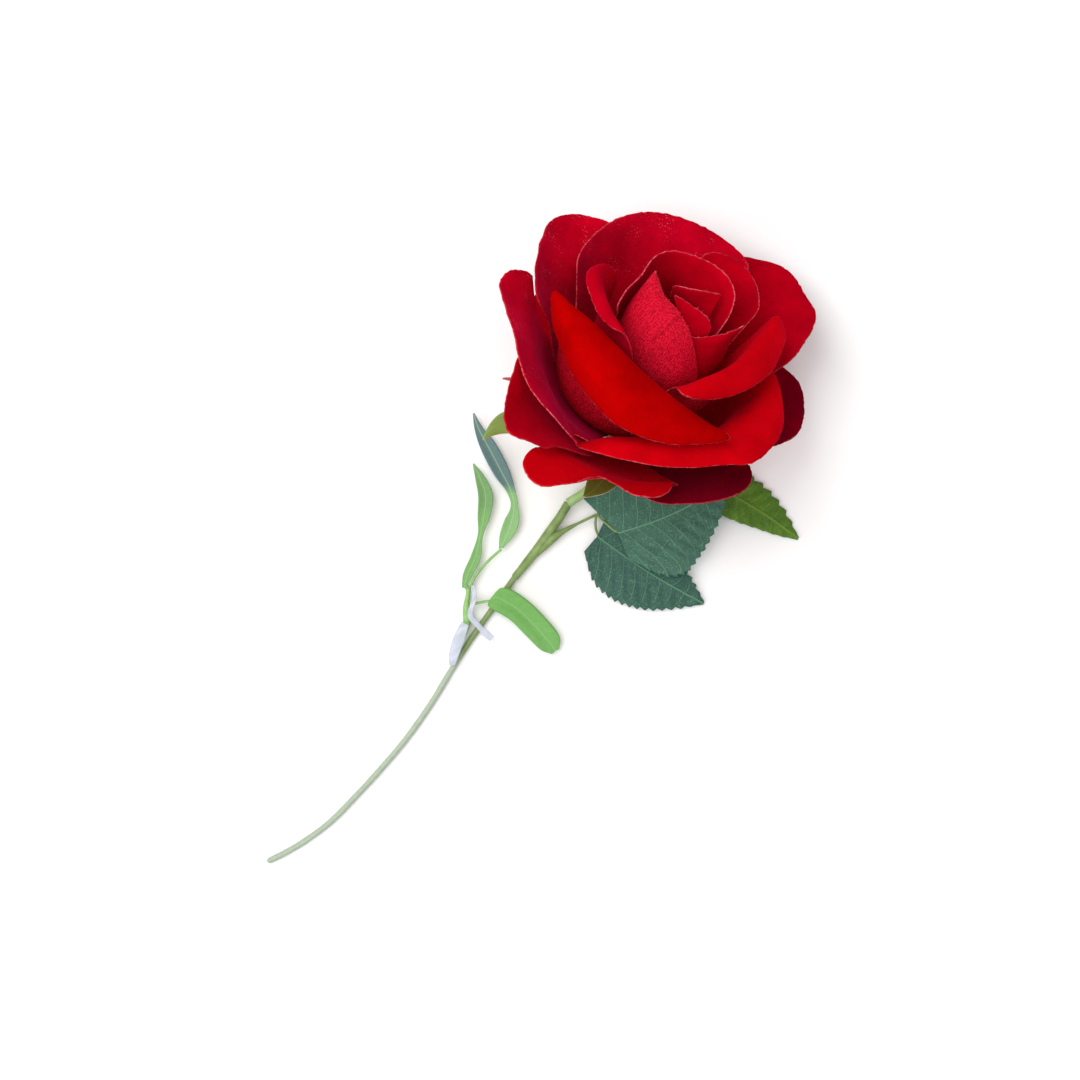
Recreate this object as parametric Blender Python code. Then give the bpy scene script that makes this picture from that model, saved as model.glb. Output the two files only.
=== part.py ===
"""Artificial velvet rose stem lying on a flat surface.

Metres, +Z up.  Everything below is written in millimetres and scaled once, in
add_body().  The bloom is built in its own frame: the receptacle's centre is
the origin, AXIS points out of the bloom, and an azimuth of 0 points along
SIDE.  Each petal is a cloth sheet lofted through guide curves from its foot
to its rim.  The stem, leaves and sprig are placed straight on the surface.
"""
import bpy
import numpy as np
from math import radians, sin, cos, pi

# ---------------------------------------------------------------- dimensions
MM = 0.001
TILT = radians(50.0)            # bloom axis, measured from the vertical
HEADING = radians(68.0)         # direction the bloom leans towards
RECEPTACLE = np.array([26.0, 35.0, 22.0])
PETAL_CLOTH = 0.7               # velvet bonded to satin
BUD_CLOTH = 0.6
LEAF_CLOTH = 0.5
WIRE_R = 0.95                   # lower, bare-coated stem
NECK_R = 1.45                   # sleeve below the calyx
FINE = 4                        # a sheet is evaluated this many times finer than it is meshed

AXIS = np.array([sin(TILT)*cos(HEADING), sin(TILT)*sin(HEADING), cos(TILT)])
SIDE = np.array([sin(HEADING), -cos(HEADING), 0.0])
BACK = np.cross(AXIS, SIDE)

COLOURS = {                     # slot: (linear colour, roughness)
    "velvet": ((0.42, 0.004, 0.012), 0.85),
    "foam": ((0.55, 0.50, 0.42), 0.9),
    "calyx_green": ((0.20, 0.31, 0.10), 0.6),
    "sepal_green": ((0.17, 0.30, 0.06), 0.7),
    "stem_green": ((0.16, 0.24, 0.07), 0.55),
    "wire_green": ((0.33, 0.40, 0.28), 0.5),
    "leaf_teal": ((0.055, 0.16, 0.12), 0.75),
    "leaf_lime": ((0.09, 0.22, 0.015), 0.75),
    "sprig_green": ((0.20, 0.46, 0.13), 0.6),
    "tie_film": ((0.55, 0.58, 0.68), 0.35),
}

# ------------------------------------------------------------- petal tables
# A guide curve is a list of (azimuth deg, radius, height) in the bloom frame,
# from one side edge of the petal to the other.


def arc(a0, a1, radius, height, n=5):
    """Curve with radius and height constant, or running from one value to another."""
    r0, r1 = radius if isinstance(radius, tuple) else (radius, radius)
    z0, z1 = height if isinstance(height, tuple) else (height, height)
    return [(a0+(a1-a0)*i/(n-1), r0+(r1-r0)*i/(n-1), z0+(z1-z0)*i/(n-1)) for i in range(n)]


def bowl(first, last, foot_r, foot_z, belly, wall):
    """Foot, belly and wall curves: first and last are the side azimuths of each."""
    return [arc(first[0], last[0], foot_r, foot_z),
            arc(first[1], last[1], belly[0], belly[1]),
            arc(first[2], last[2], wall[0], wall[1])]


OUTER_PETALS = {
    "petal_outer_left": bowl((202, 204, 204), (248, 248, 250), 9.5, 0, (23, 4.5), (33, (12, 10)))
    + [[(204, 39.5, 23.5), (220, 43, 20), (229, 45, 17.7), (238, 46, 16.2), (248, 43, 14.8)],
       [(205, 42, 27.5), (216, 46, 23.5), (226, 52, 21.5), (236, 57, 19), (243, 52, 17.5), (247, 49, 16.5)]],
    "petal_outer_front": bowl((252, 246, 242), (298, 302, 303), 9.5, -1, (22, 2), (33, 7))
    + [arc(241, 303, (43, 36), (10.6, 11)),
       [(239, 46, 12.3), (245, 57, 13), (252, 60, 12), (259, 53, 12), (266, 43, 12), (275, 44, 12.5),
        (285, 46, 12.3), (295, 43.5, 12.5), (304, 37, 12)]],
    "petal_outer_front_right": bowl((302, 301, 296), (344, 344, 345), 9.5, -1, (21, (.3, 2)), (30, (2.8, 6)))
    + [arc(294, 346, (33, 37), (3.4, 10.5)),
       [(292, 36, 3.8), (304, 41.5, 7), (319, 46.5, 12), (331, 47, 13), (341, 44.5, 13), (348, 40, 13)]],
    "petal_outer_right": bowl((348, 348, 346), (394, 392, 398), 9.5, 0, (22, 4), (32, 11))
    + [arc(344, 400, (38, 42), (15.5, 21)),
       [(342, 42, 19), (352, 45, 20), (364, 51, 21), (378, 53, 23), (390, 52, 25), (402, 44, 26)]],
    "petal_outer_back_right": bowl((44, 40, 38), (90, 94, 95), 9.5, 0, (23, 4.5), (34, 10.5))
    + [arc(38, 95, (40, 42), (15, 17)),
       [(38, 41, 17), (50, 46.5, 18), (64, 48, 18), (79, 44.0, 18.1), (94, 43, 19)]],
    "petal_outer_back_left": bowl((104, 102, 101), (150, 158, 162), 9.5, 0, (23, 4.5), (35, 11))
    + [arc(101, 163, (42, 42), (16, 18)),
       [(102, 45, 19), (113, 48, 19), (128, 51.5, 18.5), (145, 49, 20), (163, 43, 21)]],
}

CUP_PETALS = {
    "petal_cup_front_right": bowl((276, 262, 250), (344, 352, 364), 8.3, 2, ((21, 19.5), (5, 8)),
                                  ((27.5, 27), (8, 18)))
    + [[(251, 30, 10), (268, 34, 21), (292, 34.5, 27), (317, 34.5, 30), (342, 33.5, 34), (366, 32, 37)],
       [(250, 33, 11.5), (266, 39.5, 24), (291, 40.5, 30), (317, 42, 32.4), (343, 42, 36.5), (366, 36, 39)],
       [(249, 36, 13), (257, 41, 17.5), (267, 45.5, 22.8), (290, 46.5, 26), (310, 46.5, 27.5),
        (321, 50, 29.7), (334, 48, 31), (348, 45, 33), (366, 37, 37.5)]],
    "petal_cup_left": bowl((197, 189, 188), (240, 246, 251), 8.3, 2, (21, 8.5), ((30, 34), (20, 16)))
    + [[(187, 38.5, 33), (202, 39, 33), (217, 40.5, 31.5), (236, 43, 28), (252, 43, 22)],
       [(187.5, 46, 44.4), (190, 50.3, 46), (196, 53, 44), (206, 51.5, 42.5), (218, 51.5, 40.5),
        (231, 54, 37), (240, 54, 33.5), (248, 52, 30), (257, 50, 25)]],
    "petal_cup_back_left": bowl((140, 134, 131), (176, 182, 186), 8.3, 2, (20.5, 8.5), (29, 21))
    + [arc(129, 196, (37, 34), (37, 33)),
       [(128, 38, 50.5), (140, 49, 48), (151, 51, 47), (163, 47.5, 46), (178, 43.6, 45), (199, 41, 43.5)]],
    "petal_cup_back_right": bowl((24, 18, 14), (76, 80, 82), 8.3, 2, (21, 9), (30, 21))
    + [arc(12, 82, (34, 36), (31, 38)),
       [(13, 38, 36), (20, 43, 38.5), (27, 47.5, 41), (34, 52.5, 42.8), (40, 56, 44), (48, 57, 44.6),
        (56, 58.8, 45.4), (62, 56, 47), (70, 46, 49), (82, 38, 50)]],
}

MID_PETALS = {
    "petal_mid_front": bowl((222, 212, 204), (286, 294, 304), 7.1, 4, ((21.5, 16.5), (9.5, 11)),
                            ((28, 23.5), (21, 21)))
    + [[(200, 31, 42), (228, 27, 41), (256, 26.5, 40), (284, 29.5, 34.5), (309, 36.5, 33.5)],
       [(200, 36, 47.5), (226, 31, 49), (254, 32, 48), (285, 35.5, 43), (310, 43, 37.3)],
       [(199, 37, 47), (226, 37, 46), (256, 41.5, 43.5), (286, 43.5, 40.5), (311, 45, 37.3)],
       [(198, 37.5, 46), (209, 37, 41.5), (221, 36.5, 38.5), (237, 39, 37), (252, 42, 35.8), (268, 45, 34),
        (285, 46, 34), (300, 45, 35), (312, 45, 36.5)]],
    "petal_mid_right": bowl((298, 290, 287), (346, 368, 382), 6.7, 4.5, (14.2, 11.5), ((20, 22), 25))
    + [[(287, 27.5, 40), (306, 25.5, 40), (331, 24.5, 41), (356, 25, 43), (383, 28, 43)],
       [(287, 35, 45.7), (302, 31, 48.3), (329, 28, 50), (358, 27.5, 51), (385, 33, 51)],
       [(286, 37, 46.5), (304, 34.5, 47), (331, 32.5, 48), (359, 32.5, 49), (387, 36, 49.5)],
       [(286, 38.3, 46.2), (305, 36, 44.5), (331, 34.5, 44.5), (360, 35.5, 45), (389, 38.7, 47.5)]],
    "petal_mid_back": bowl((80, 68, 62), (148, 166, 176), 7.1, 4, (17.5, 11.5), (24.5, 28))
    + [arc(60, 180, (31, 29), 42),
       [(61, 39, 52.5), (76, 40, 54), (92, 41, 55), (111, 40, 56), (128, 37, 56.5), (145, 34.5, 55.5),
        (163, 33, 54), (179, 32.5, 52)]],
}

INNER_PETALS = {
    "petal_inner_left": bowl((178, 168, 160), (236, 244, 252), 5.9, 6, (14, 13), (19.5, 30))
    + [[(160, 20, 44), (185, 21, 45), (210, 21.5, 45), (234, 21.5, 43), (256, 23, 40)],
       [(162, 20, 52), (186, 24.5, 54), (212, 24.5, 53.5), (238, 26, 52), (257, 27, 48.5)],
       [(164, 21, 53.5), (188, 28.5, 53.5), (212, 28.3, 52), (236, 29, 50.5), (257, 28.3, 48.8)]],
    "petal_inner_right": bowl((26, 24, 24), (76, 82, 84), 5.9, 6, (15, 13), (20, 30))
    + [arc(25, 84, (24.5, 24), 44),
       [(27, 28, 52), (38, 29.5, 53.3), (50, 31.5, 54.2), (64, 33, 54.5), (76, 30, 55.5), (85, 25, 55)]],
}

BUD_PETALS = {
    "petal_bud_curl": [
        arc(10, 130, 4.8, 9), arc(10, 168, 11, 17), arc(8, 196, (14, 16), 33),
        [(4, 15.2, 44), (35, 16, 48), (80, 14, 49), (125, 14, 49), (170, 14.5, 48), (212, 17.5, 46)],
        [(6, 16.4, 48.5), (12, 17, 53.5), (22, 17, 58), (45, 16.3, 60), (80, 13.5, 61), (116, 14, 60.5),
         (139, 13, 60), (182, 12.5, 57), (208, 17, 54), (219, 20.5, 50)]],
    "petal_bud_right": [
        arc(324, 356, 3.3, 14, 4), arc(324, 354, 9.8, 20.5, 4),
        [(324, 14.6, 33), (338, 15.6, 33.5), (352, 17.4, 34), (365, 19, 34)],
        [(324, 11.5, 42.5), (338, 13.6, 44), (352, 17, 44.5), (370, 20.5, 45)],
        [(324, 10, 46), (343, 13.5, 47.2), (359, 17.4, 48.2), (372, 22.5, 50)]],
}

# Innermost petals, given as (x, y, z) rows because they close over the axis.
CORE_PETALS = {
    "petal_bud_side": [
        [(1.7, -1.2, 15.5), (2, -.2, 15.5), (1.9, .8, 15.5)],
        [(5.2, -3.6, 21), (6.2, -1.6, 21), (6.4, .6, 21)],
        [(9.2, -5.6, 33), (11, -3.4, 33), (11.8, -.6, 33)],
        [(5.5, -5.2, 45), (9, -4.2, 44.5), (12.4, -2.4, 44)],
        [(-1.5, -2.6, 56), (4, -2.3, 54.6), (10.5, -1.5, 52), (13.2, -1.8, 49)]],
    "petal_bud_inner": [
        [(1.2, 2.9, 14), (2.2, 2.4, 14), (2.9, 1.8, 14)],
        [(1, 5, 24), (4.5, 5, 24), (7.6, 3.6, 24)],
        [(-1, 5, 40), (5, 5, 40), (10.5, 5, 40)],
        [(-2.6, 1, 56.4), (5.8, 3, 57), (12, 7, 56)]],
    "petal_bud_front": [
        [(-3.3, 1.2, 12), (-3.2, -1.7, 12), (-1, -3.6, 12), (1.6, -3.2, 12), (3.2, -2.6, 12)],
        [(-10, 1, 20), (-9, -6, 20), (-1.5, -10.8, 20), (6.5, -10.2, 20), (10.4, -6.8, 20)],
        [(-12.4, .8, 33), (-12.3, -8.4, 33), (-2, -15.3, 33), (9, -14.6, 33), (15, -8.8, 33.5)],
        [(-12, 1.2, 46), (-12.4, -6.6, 46), (-5.5, -12.4, 46), (4, -12.2, 46), (8.8, -8.2, 47)],
        [(-10.6, .5, 53), (-11, -4.4, 53), (-7, -8.6, 53.5), (-1, -8.4, 53.5), (2.4, -6.6, 53)],
        [(-9.6, .5, 56.4), (-10, -2.8, 56.8), (-8.4, -5.6, 57.2), (-6.2, -6.6, 57), (-3.8, -6, 56.4)],
        [(-9, -.2, 59.4), (-9.2, -1.4, 60), (-8.8, -2.4, 60.2), (-8.1, -3.2, 60), (-7.2, -3.8, 59.4)]],
}

# Sepals: azimuth, radius, height and half-width of each row, foot to tip.
SEPALS = {
    "sepal_left": [(205, 6, -3.2, 3), (201, 15, -4, 4.6), (198, 26, -4.6, 6), (201, 37, -4.6, 5.2),
                   (214, 47, -4, .4)],
    "sepal_back_left": [(133, 6, -3.2, 3), (136, 15, -4, 4.2), (146, 24, -4.4, 4.2), (160, 33, -4.4, 3),
                        (171, 42, -4, .4)],
    "sepal_back_right": [(61, 6, -3.2, 3), (61, 15, -3, 4.4), (61, 23, -.6, 4.6), (60, 30, 3, 3),
                         (59, 36, 6, .4)],
    "sepal_right": [(349, 6, -3.2, 3), (350, 15, -3.8, 4.4), (352, 24, -3.6, 4.6), (354, 32, -2.6, 3),
                    (357, 40, -1.5, .4)],
    "sepal_front": [(277, 6, -3.2, 3), (275, 14, -4, 4.6), (271, 21, -4.4, 4.8), (268, 27, -4.8, 3.4),
                    (264, 33, -5, .4)],
}

# ------------------------------------------------------- stem, leaves, sprig
# World positions on the surface, millimetres.
CALYX_PROFILE = [(7.4, -4.1), (7.2, -5), (6.2, -7), (4.9, -9.5), (3.4, -12), (2.4, -14)]
NECK_PATH = [(21.7, 24.3, 12.4), (19.6, 20.6, 9.6), (16.8, 17.6, 7.2), (13.6, 14.8, 5.2), (9.6, 12.3, 3.9)]
UPPER_PATH = [(8.9, 11.5, 3.7), (6.5, 7.5, 3.0), (3.3, 3.0, 2.5), (.2, -1.6, 2.1), (-4, -7, 1.85),
              (-7.9, -11.8, 1.7)]
WIRE_PATH = [(-8.3, -12.3, 1.6), (-16.2, -23.4, 1.3), (-22.7, -32.6, 1.05), (-29.2, -42.9, .97),
             (-35.7, -53.6, .95),
             (-43.8, -65, .95), (-52, -74.7, .95), (-60.1, -83.5, .95), (-68.2, -91.7, .95),
             (-76.3, -97.8, .95),
             (-82.8, -101.7, .95), (-88.7, -104.6, .95)]
SHEATH_PATH = [(1.2, -7.4, 2.2), (3.3, -3.8, 2.3), (5.4, -.5, 2.3), (7.6, 2.3, 2.2), (11.4, 4.9, 2)]
RACHIS_PATH = [(11.8, 5.1, 2), (18.9, 8.4, 2.2), (28, 11.6, 2), (38, 16.4, 2), (48.6, 20.4, 2.2)]
PETIOLULE_UPPER = [(19.5, 6.7, 3.1), (21.8, 4.4, 3.3), (24.4, 2.5, 3.6)]
PETIOLULE_LOWER = [(17.3, 6.2, 1.9), (17.3, 4.2, 1.9), (18.1, 2, 2)]

# Leaflets: (base, tip, lift of the middle, roll about the midrib, widths left and right of the midrib)
LEAFLETS = {
    "leaflet_upper": dict(base=(25.3, 2.2, 4.4), tip=(61.5, 19.6, 6.8), bow=-2.0, lift=1.2, roll=-6,
                          left=(15.5, 18, 18.5, 16.5, 13, 8, .4), right=(9, 17, 19.5, 16.6, 12.5, 7.5, .4),
                          sweep=(-5.5, -.5), slot="leaf_teal"),
    "leaflet_lower": dict(base=(18.6, 1.2, 2.2), tip=(53.2, -20.6, 1.2), bow=-1.0, lift=.9, roll=0,
                          left=(7, 12, 13, 11.5, 8.5, 5, .4), right=(6.5, 12.5, 14, 13, 10.4, 6, .4),
                          sweep=(-1, -1), slot="leaf_teal"),
    "leaflet_end": dict(base=(49.6, 20.2, 3.0), tip=(84.0, .4, .45), bow=1.5, lift=1.2, roll=-12,
                        left=(4.5, 8, 9, 8.5, 7, 4.4, .4), right=(4, 7, 7.6, 7, 5.4, 3.4, .4),
                        sweep=(-1, -1), slot="leaf_lime"),
}

TWIG_PATH = [(-27.4, -36.6, 2.9), (-25.2, -31.4, 2.4), (-23.7, -26.6, 2.3), (-23.9, -21.4, 2.3),
             (-23.2, -16.6, 2.3)]
SPRIG_STALK = [(-22.8, -15.4, 2.5), (-20.6, -11.2, 2.7), (-16.8, -6.8, 2.7), (-12.9, -3.3, 2.7)]
SPRIG_STALK_LOW = [(-22.3, -20.9, 2.6), (-19.2, -20.2, 3.2), (-16.8, -19.8, 3.9)]

# Narrow leaves: rows of (x, y, z, half-width, heading of the row's width in degrees)
SPRIG_LEAVES = {
    "sprig_leaf_tall": [(-12.6, -2.7, 2.9, .8, 10), (-10.8, 1.4, 3, 2.3, 2), (-9.2, 6, 3, 2.4, -4),
                        (-8.3, 11.4, 3.1, 1.2, 14), (-9.6, 16.5, 3.2, 1.5, 24), (-12.6, 22.4, 3.2, 2.6, 28),
                        (-16.6, 30, 3.2, 2.6, 30), (-19.8, 36, 3.1, 1.4, 20), (-21.6, 41.3, 3, .25, 12)],
    "sprig_leaf_left": [(-24.6, -15.6, 3.2, .8, -20), (-23.4, -11.2, 3.1, 1.5, -16),
                        (-20.8, -5.4, 3, 1.6, -16),
                        (-19.3, 1.6, 3, .9, -12), (-18.2, 7.6, 3, 2, -2), (-17.6, 14.4, 3, 2.4, 2),
                        (-19.4, 20.2, 3, 1.6, 12), (-21.6, 24.8, 3, .25, 14)],
    "sprig_leaf_right": [(-16.4, -19.8, 4.4, 1.2, 62), (-14.6, -18.6, 4.6, 3.6, 58),
                         (-11.6, -19.6, 4.6, 4.4, 50),
                         (-6.4, -23, 4.4, 4.3, 42), (-1.4, -28, 3.6, 4.3, 40), (3.2, -33.2, 2.8, 3.8, 38),
                         (5, -36, 2.4, 1.6, 36)],
}

TIES = {                         # strips of film: rows of (x, y, z, half-width, heading)
    "tie_strip_upper": [(-21.6, -14.6, 4.4, .7, 10), (-21.3, -19, 4.6, .8, 0), (-22.6, -24.2, 4.7, .9, 20),
                        (-19.9, -27.8, 4.5, .9, 50), (-17.2, -30.6, 4.1, 1.1, 45), (-15.6, -32, 3.7, .9, 45)],
    "tie_strip_lower": [(-24.6, -27.4, 4.6, 1.2, -20), (-27.4, -32.4, 4.7, 1.3, -25),
                        (-29, -37.4, 4.4, 1.2, -10),
                        (-28.7, -40.4, 4, .7, 0)],
}


# ------------------------------------------------------------------ geometry
def loft(points, t):
    """Catmull-Rom curve through equally spaced rows: points (n, ...), t in [0, 1]."""
    v = np.asarray(points, float)
    n = len(v)-1
    x = np.clip(np.asarray(t, float), 0, 1)*n
    i = np.clip(np.floor(x).astype(int), 0, n-1)
    f = (x-i).reshape((-1,)+(1,)*(v.ndim-1))
    ext = np.concatenate([[2*v[0]-v[1]], v, [2*v[-1]-v[-2]]])
    p0, p1, p2, p3 = ext[i], ext[i+1], ext[i+2], ext[i+3]
    return p1+0.5*f*(p2-p0+f*(2*p0-5*p1+4*p2-p3+f*(3*(p1-p2)+p3-p0)))


def bloom_xyz(curve):
    """(azimuth, radius, height) rows to x, y, z in the bloom frame."""
    c = np.asarray(curve, float)
    a = np.radians(c[:, 0])
    return np.stack([c[:, 1]*np.cos(a), c[:, 1]*np.sin(a), c[:, 2]], -1)


def to_world(points):
    p = np.asarray(points, float)
    return RECEPTACLE+p[..., :1]*SIDE+p[..., 1:2]*BACK+p[..., 2:3]*AXIS


def petal_grid(curves, across, along, cylindrical=True):
    """World points, evenly spaced from foot to rim in each column."""
    across, along = FINE*across, FINE*along
    u = np.linspace(0, 1, across+1)
    if cylindrical:
        rows = np.stack([bloom_xyz(loft(c, u)) for c in curves])
    else:
        rows = np.stack([loft(c, u) for c in curves])
    t = np.linspace(0, 1, 2*along+1)
    fine = loft(rows, t)
    step = np.linalg.norm(np.diff(fine, axis=0), axis=-1)
    out = np.zeros((along+1, across+1, 3))
    for k in range(across+1):
        run = np.concatenate([[0], np.cumsum(step[:, k])])
        at = np.interp(np.linspace(0, run[-1], along+1), run, t)
        out[:, k] = loft(rows[:, k], at)
    return to_world(out)


def add_body(name, vertices, faces, slot):
    mesh = bpy.data.meshes.new(name)
    mesh.from_pydata([tuple(MM*float(c) for c in v) for v in vertices], [], faces)
    mesh.polygons.foreach_set("use_smooth", [True]*len(mesh.polygons))
    mesh.materials.append(MATERIALS[slot])
    mesh.update()
    body = bpy.data.objects.new(name, mesh)
    bpy.context.scene.collection.objects.link(body)
    body.parent = ROOT
    return body


def add_sheet(name, grid, thickness, slot):
    """Closed thin body around a grid of points: two offset faces joined along the edges.

    The grid comes FINE times denser than the body, so that the normals follow the true surface.
    """
    g = np.asarray(grid, float)
    normal = np.cross(np.gradient(g, axis=1), np.gradient(g, axis=0))
    length = np.linalg.norm(normal, axis=-1, keepdims=True)
    normal = (normal/np.maximum(length, 1e-9))[::FINE, ::FINE]
    g = g[::FINE, ::FINE]
    rows, cols = g.shape[:2]
    top, low = g+normal*thickness/2, g-normal*thickness/2
    vertices = np.concatenate([top.reshape(-1, 3), low.reshape(-1, 3)])
    count = rows*cols
    faces = []
    for j in range(rows-1):
        for i in range(cols-1):
            a, b = j*cols+i, j*cols+i+1
            c, d = b+cols, a+cols
            # both faces are cut along the same diagonal, so that a warped patch keeps its thickness
            short = np.linalg.norm(g[j, i]-g[j+1, i+1]) <= np.linalg.norm(g[j, i+1]-g[j+1, i])
            halves = ((a, b, c), (a, c, d)) if short else ((a, b, d), (b, c, d))
            for half in halves:
                faces.append(half)
                faces.append(tuple(k+count for k in reversed(half)))
    rim = [i for i in range(cols)]+[j*cols+cols-1 for j in range(1, rows)]
    rim += [(rows-1)*cols+i for i in range(cols-2, -1, -1)]+[j*cols for j in range(rows-2, 0, -1)]
    for a, b in zip(rim, rim[1:]+rim[:1]):
        faces.append((b, a, a+count, b+count))
    return add_body(name, vertices, faces, slot)


def add_tube(name, path, radii, slot, sides=10, steps=None):
    """Round bar along a path; radii is one value or a list spread along the path."""
    steps = steps or 3*(len(path)-1)
    t = np.linspace(0, 1, steps+1)
    centre = loft(path, t)
    if np.isscalar(radii):
        radii = [radii, radii]
    radius = np.interp(t, np.linspace(0, 1, len(radii)), radii)
    tangent = np.gradient(centre, axis=0)
    tangent /= np.linalg.norm(tangent, axis=1, keepdims=True)
    across = np.cross(tangent, (0, 0, 1.0))
    across /= np.linalg.norm(across, axis=1, keepdims=True)
    upward = np.cross(tangent, across)
    vertices, faces = [], []
    for c, r, a, b in zip(centre, radius, across, upward):
        for k in range(sides):
            w = 2*pi*k/sides
            vertices.append(c+r*(cos(w)*a+sin(w)*b))
    for j in range(steps):
        for k in range(sides):
            n = (k+1) % sides
            faces.append((j*sides+k, j*sides+n, (j+1)*sides+n, (j+1)*sides+k))
    faces.append(tuple(range(sides-1, -1, -1)))
    faces.append(tuple(steps*sides+k for k in range(sides)))
    return add_body(name, vertices, faces, slot)


def add_turned(name, profile, slot, sides=20):
    """Body of revolution about the bloom axis from (radius, height) pairs, closed at both ends."""
    vertices, faces = [], []
    for r, z in profile:
        for k in range(sides):
            w = 2*pi*k/sides
            vertices.append(to_world((r*cos(w), r*sin(w), z)))
    for j in range(len(profile)-1):
        for k in range(sides):
            n = (k+1) % sides
            faces.append((j*sides+k, j*sides+n, (j+1)*sides+n, (j+1)*sides+k))
    faces.append(tuple(range(sides-1, -1, -1)))
    faces.append(tuple((len(profile)-1)*sides+k for k in range(sides)))
    return add_body(name, vertices, faces, slot)


def sepal_grid(rows, across=4, along=9):
    """Narrow pointed blade under the petals; rows are (azimuth, radius, height, half-width)."""
    r = loft(rows, np.linspace(0, 1, FINE*along+1))
    centre = bloom_xyz(r[:, :3])
    angle = np.radians(r[:, 0])
    side = np.stack([-np.sin(angle), np.cos(angle), np.zeros(len(r))], -1)
    u = np.linspace(-1, 1, FINE*across+1)
    grid = centre[:, None]+u[None, :, None]*np.maximum(r[:, 3], .3)[:, None, None]*side[:, None]
    return to_world(grid)


def strip_grid(rows, across=2, along=14):
    """Narrow blade in world space; rows are (x, y, z, half-width, heading of the width)."""
    r = loft(rows, np.linspace(0, 1, FINE*along+1))
    angle = np.radians(r[:, 4])
    side = np.stack([np.cos(angle), np.sin(angle), np.zeros(len(r))], -1)
    u = np.linspace(-1, 1, FINE*across+1)
    return r[:, None, :3]+u[None, :, None]*np.maximum(r[:, 3], .3)[:, None, None]*side[:, None]


def leaflet_grid(base, tip, bow, lift, roll, left, right, sweep, across=8, along=10):
    """Ovate leaflet: half-widths on each side of a bowed midrib, lobes swept back at the base."""
    base, tip = np.array(base, float), np.array(tip, float)
    across, along = FINE*across, FINE*along
    t = np.linspace(0, 1, along+1)
    ahead = (tip-base)/np.linalg.norm(tip-base)
    flat = np.array([-ahead[1], ahead[0], 0.0])
    flat /= np.linalg.norm(flat)
    up = np.cross(ahead, flat)
    rib = base+t[:, None]*(tip-base)+(bow*np.sin(pi*t))[:, None]*flat+(lift*np.sin(pi*t))[:, None]*up
    out = flat*cos(radians(roll))+up*sin(radians(roll))
    u = np.linspace(-1, 1, across+1)
    grid = np.zeros((along+1, across+1, 3))
    for k, w in enumerate(u):
        half = loft(left if w > 0 else right, t)
        back = sweep[0] if w > 0 else sweep[1]
        lobe = back*abs(w)*(1-t)**3
        sag = -.35*abs(w)**2*lift*np.sin(pi*t)
        grid[:, k] = rib+(w*half)[:, None]*out+lobe[:, None]*ahead+sag[:, None]*up
    return grid[:, ::-1]


# --------------------------------------------------------------------- build
for old in list(bpy.data.objects):
    bpy.data.objects.remove(old, do_unlink=True)

MATERIALS = {}
for slot_name, (colour, rough) in COLOURS.items():
    material = bpy.data.materials.new(slot_name)
    material.use_nodes = True
    shader = material.node_tree.nodes["Principled BSDF"]
    shader.inputs["Base Color"].default_value = (*colour, 1.0)
    shader.inputs["Roughness"].default_value = rough
    shader.inputs["Metallic"].default_value = 0.0
    material.diffuse_color = (*colour, 1.0)
    MATERIALS[slot_name] = material

ROOT = bpy.data.objects.new("rose_stem", None)
bpy.context.scene.collection.objects.link(ROOT)

for table in (OUTER_PETALS, CUP_PETALS, MID_PETALS, INNER_PETALS):
    for petal, curves in table.items():
        add_sheet(petal, petal_grid(curves, 9, 10), PETAL_CLOTH, "velvet")
for petal, curves in BUD_PETALS.items():
    add_sheet(petal, petal_grid(curves, 12, 8), BUD_CLOTH, "velvet")
for petal, curves in CORE_PETALS.items():
    add_sheet(petal, petal_grid(curves, 8, 8, cylindrical=False), BUD_CLOTH, "velvet")
add_turned("bud_core", [(8.3, -2.2), (7.9, 0), (6.9, 2), (5.6, 4), (4.6, 6.5), (3.5, 9.5), (2.2, 12),
                        (1, 13.2)], "foam", sides=16)

add_turned("calyx_cup", CALYX_PROFILE[::-1], "calyx_green")
for sepal, rows in SEPALS.items():
    add_sheet(sepal, sepal_grid(rows), .6, "sepal_green")

add_tube("stem_neck", NECK_PATH, [2.0, NECK_R, NECK_R, NECK_R, 1.55], "calyx_green")
add_tube("stem_upper", UPPER_PATH, [1.4, 1.45, 1.5, 1.6, 1.5, 1.2], "stem_green")
add_tube("stem_wire", WIRE_PATH, WIRE_R, "wire_green", steps=26)
add_tube("leaf_sheath", SHEATH_PATH, [.5, 1.1, 1.0, .8, .5], "stem_green", sides=8)
add_tube("leaf_rachis", RACHIS_PATH, [.45, .45, .4], "stem_green", sides=8, steps=10)
add_tube("petiolule_upper", PETIOLULE_UPPER, .4, "stem_green", sides=6)
add_tube("petiolule_lower", PETIOLULE_LOWER, .4, "stem_green", sides=6)
for leaflet, spec in LEAFLETS.items():
    shape = {key: value for key, value in spec.items() if key != "slot"}
    add_sheet(leaflet, leaflet_grid(**shape), LEAF_CLOTH, spec["slot"])

add_tube("sprig_twig", TWIG_PATH, [.5, 1.1, 1.3, .8, .6], "sprig_green", sides=8)
add_tube("sprig_stalk_tall", SPRIG_STALK, .45, "sprig_green", sides=6)
add_tube("sprig_stalk_right", SPRIG_STALK_LOW, .45, "sprig_green", sides=6)
for leaf, rows in SPRIG_LEAVES.items():
    add_sheet(leaf, strip_grid(rows, across=4, along=16), .45, "sprig_green")
for tie, rows in TIES.items():
    add_sheet(tie, strip_grid(rows, across=2, along=10), .3, "tie_film")

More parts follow.
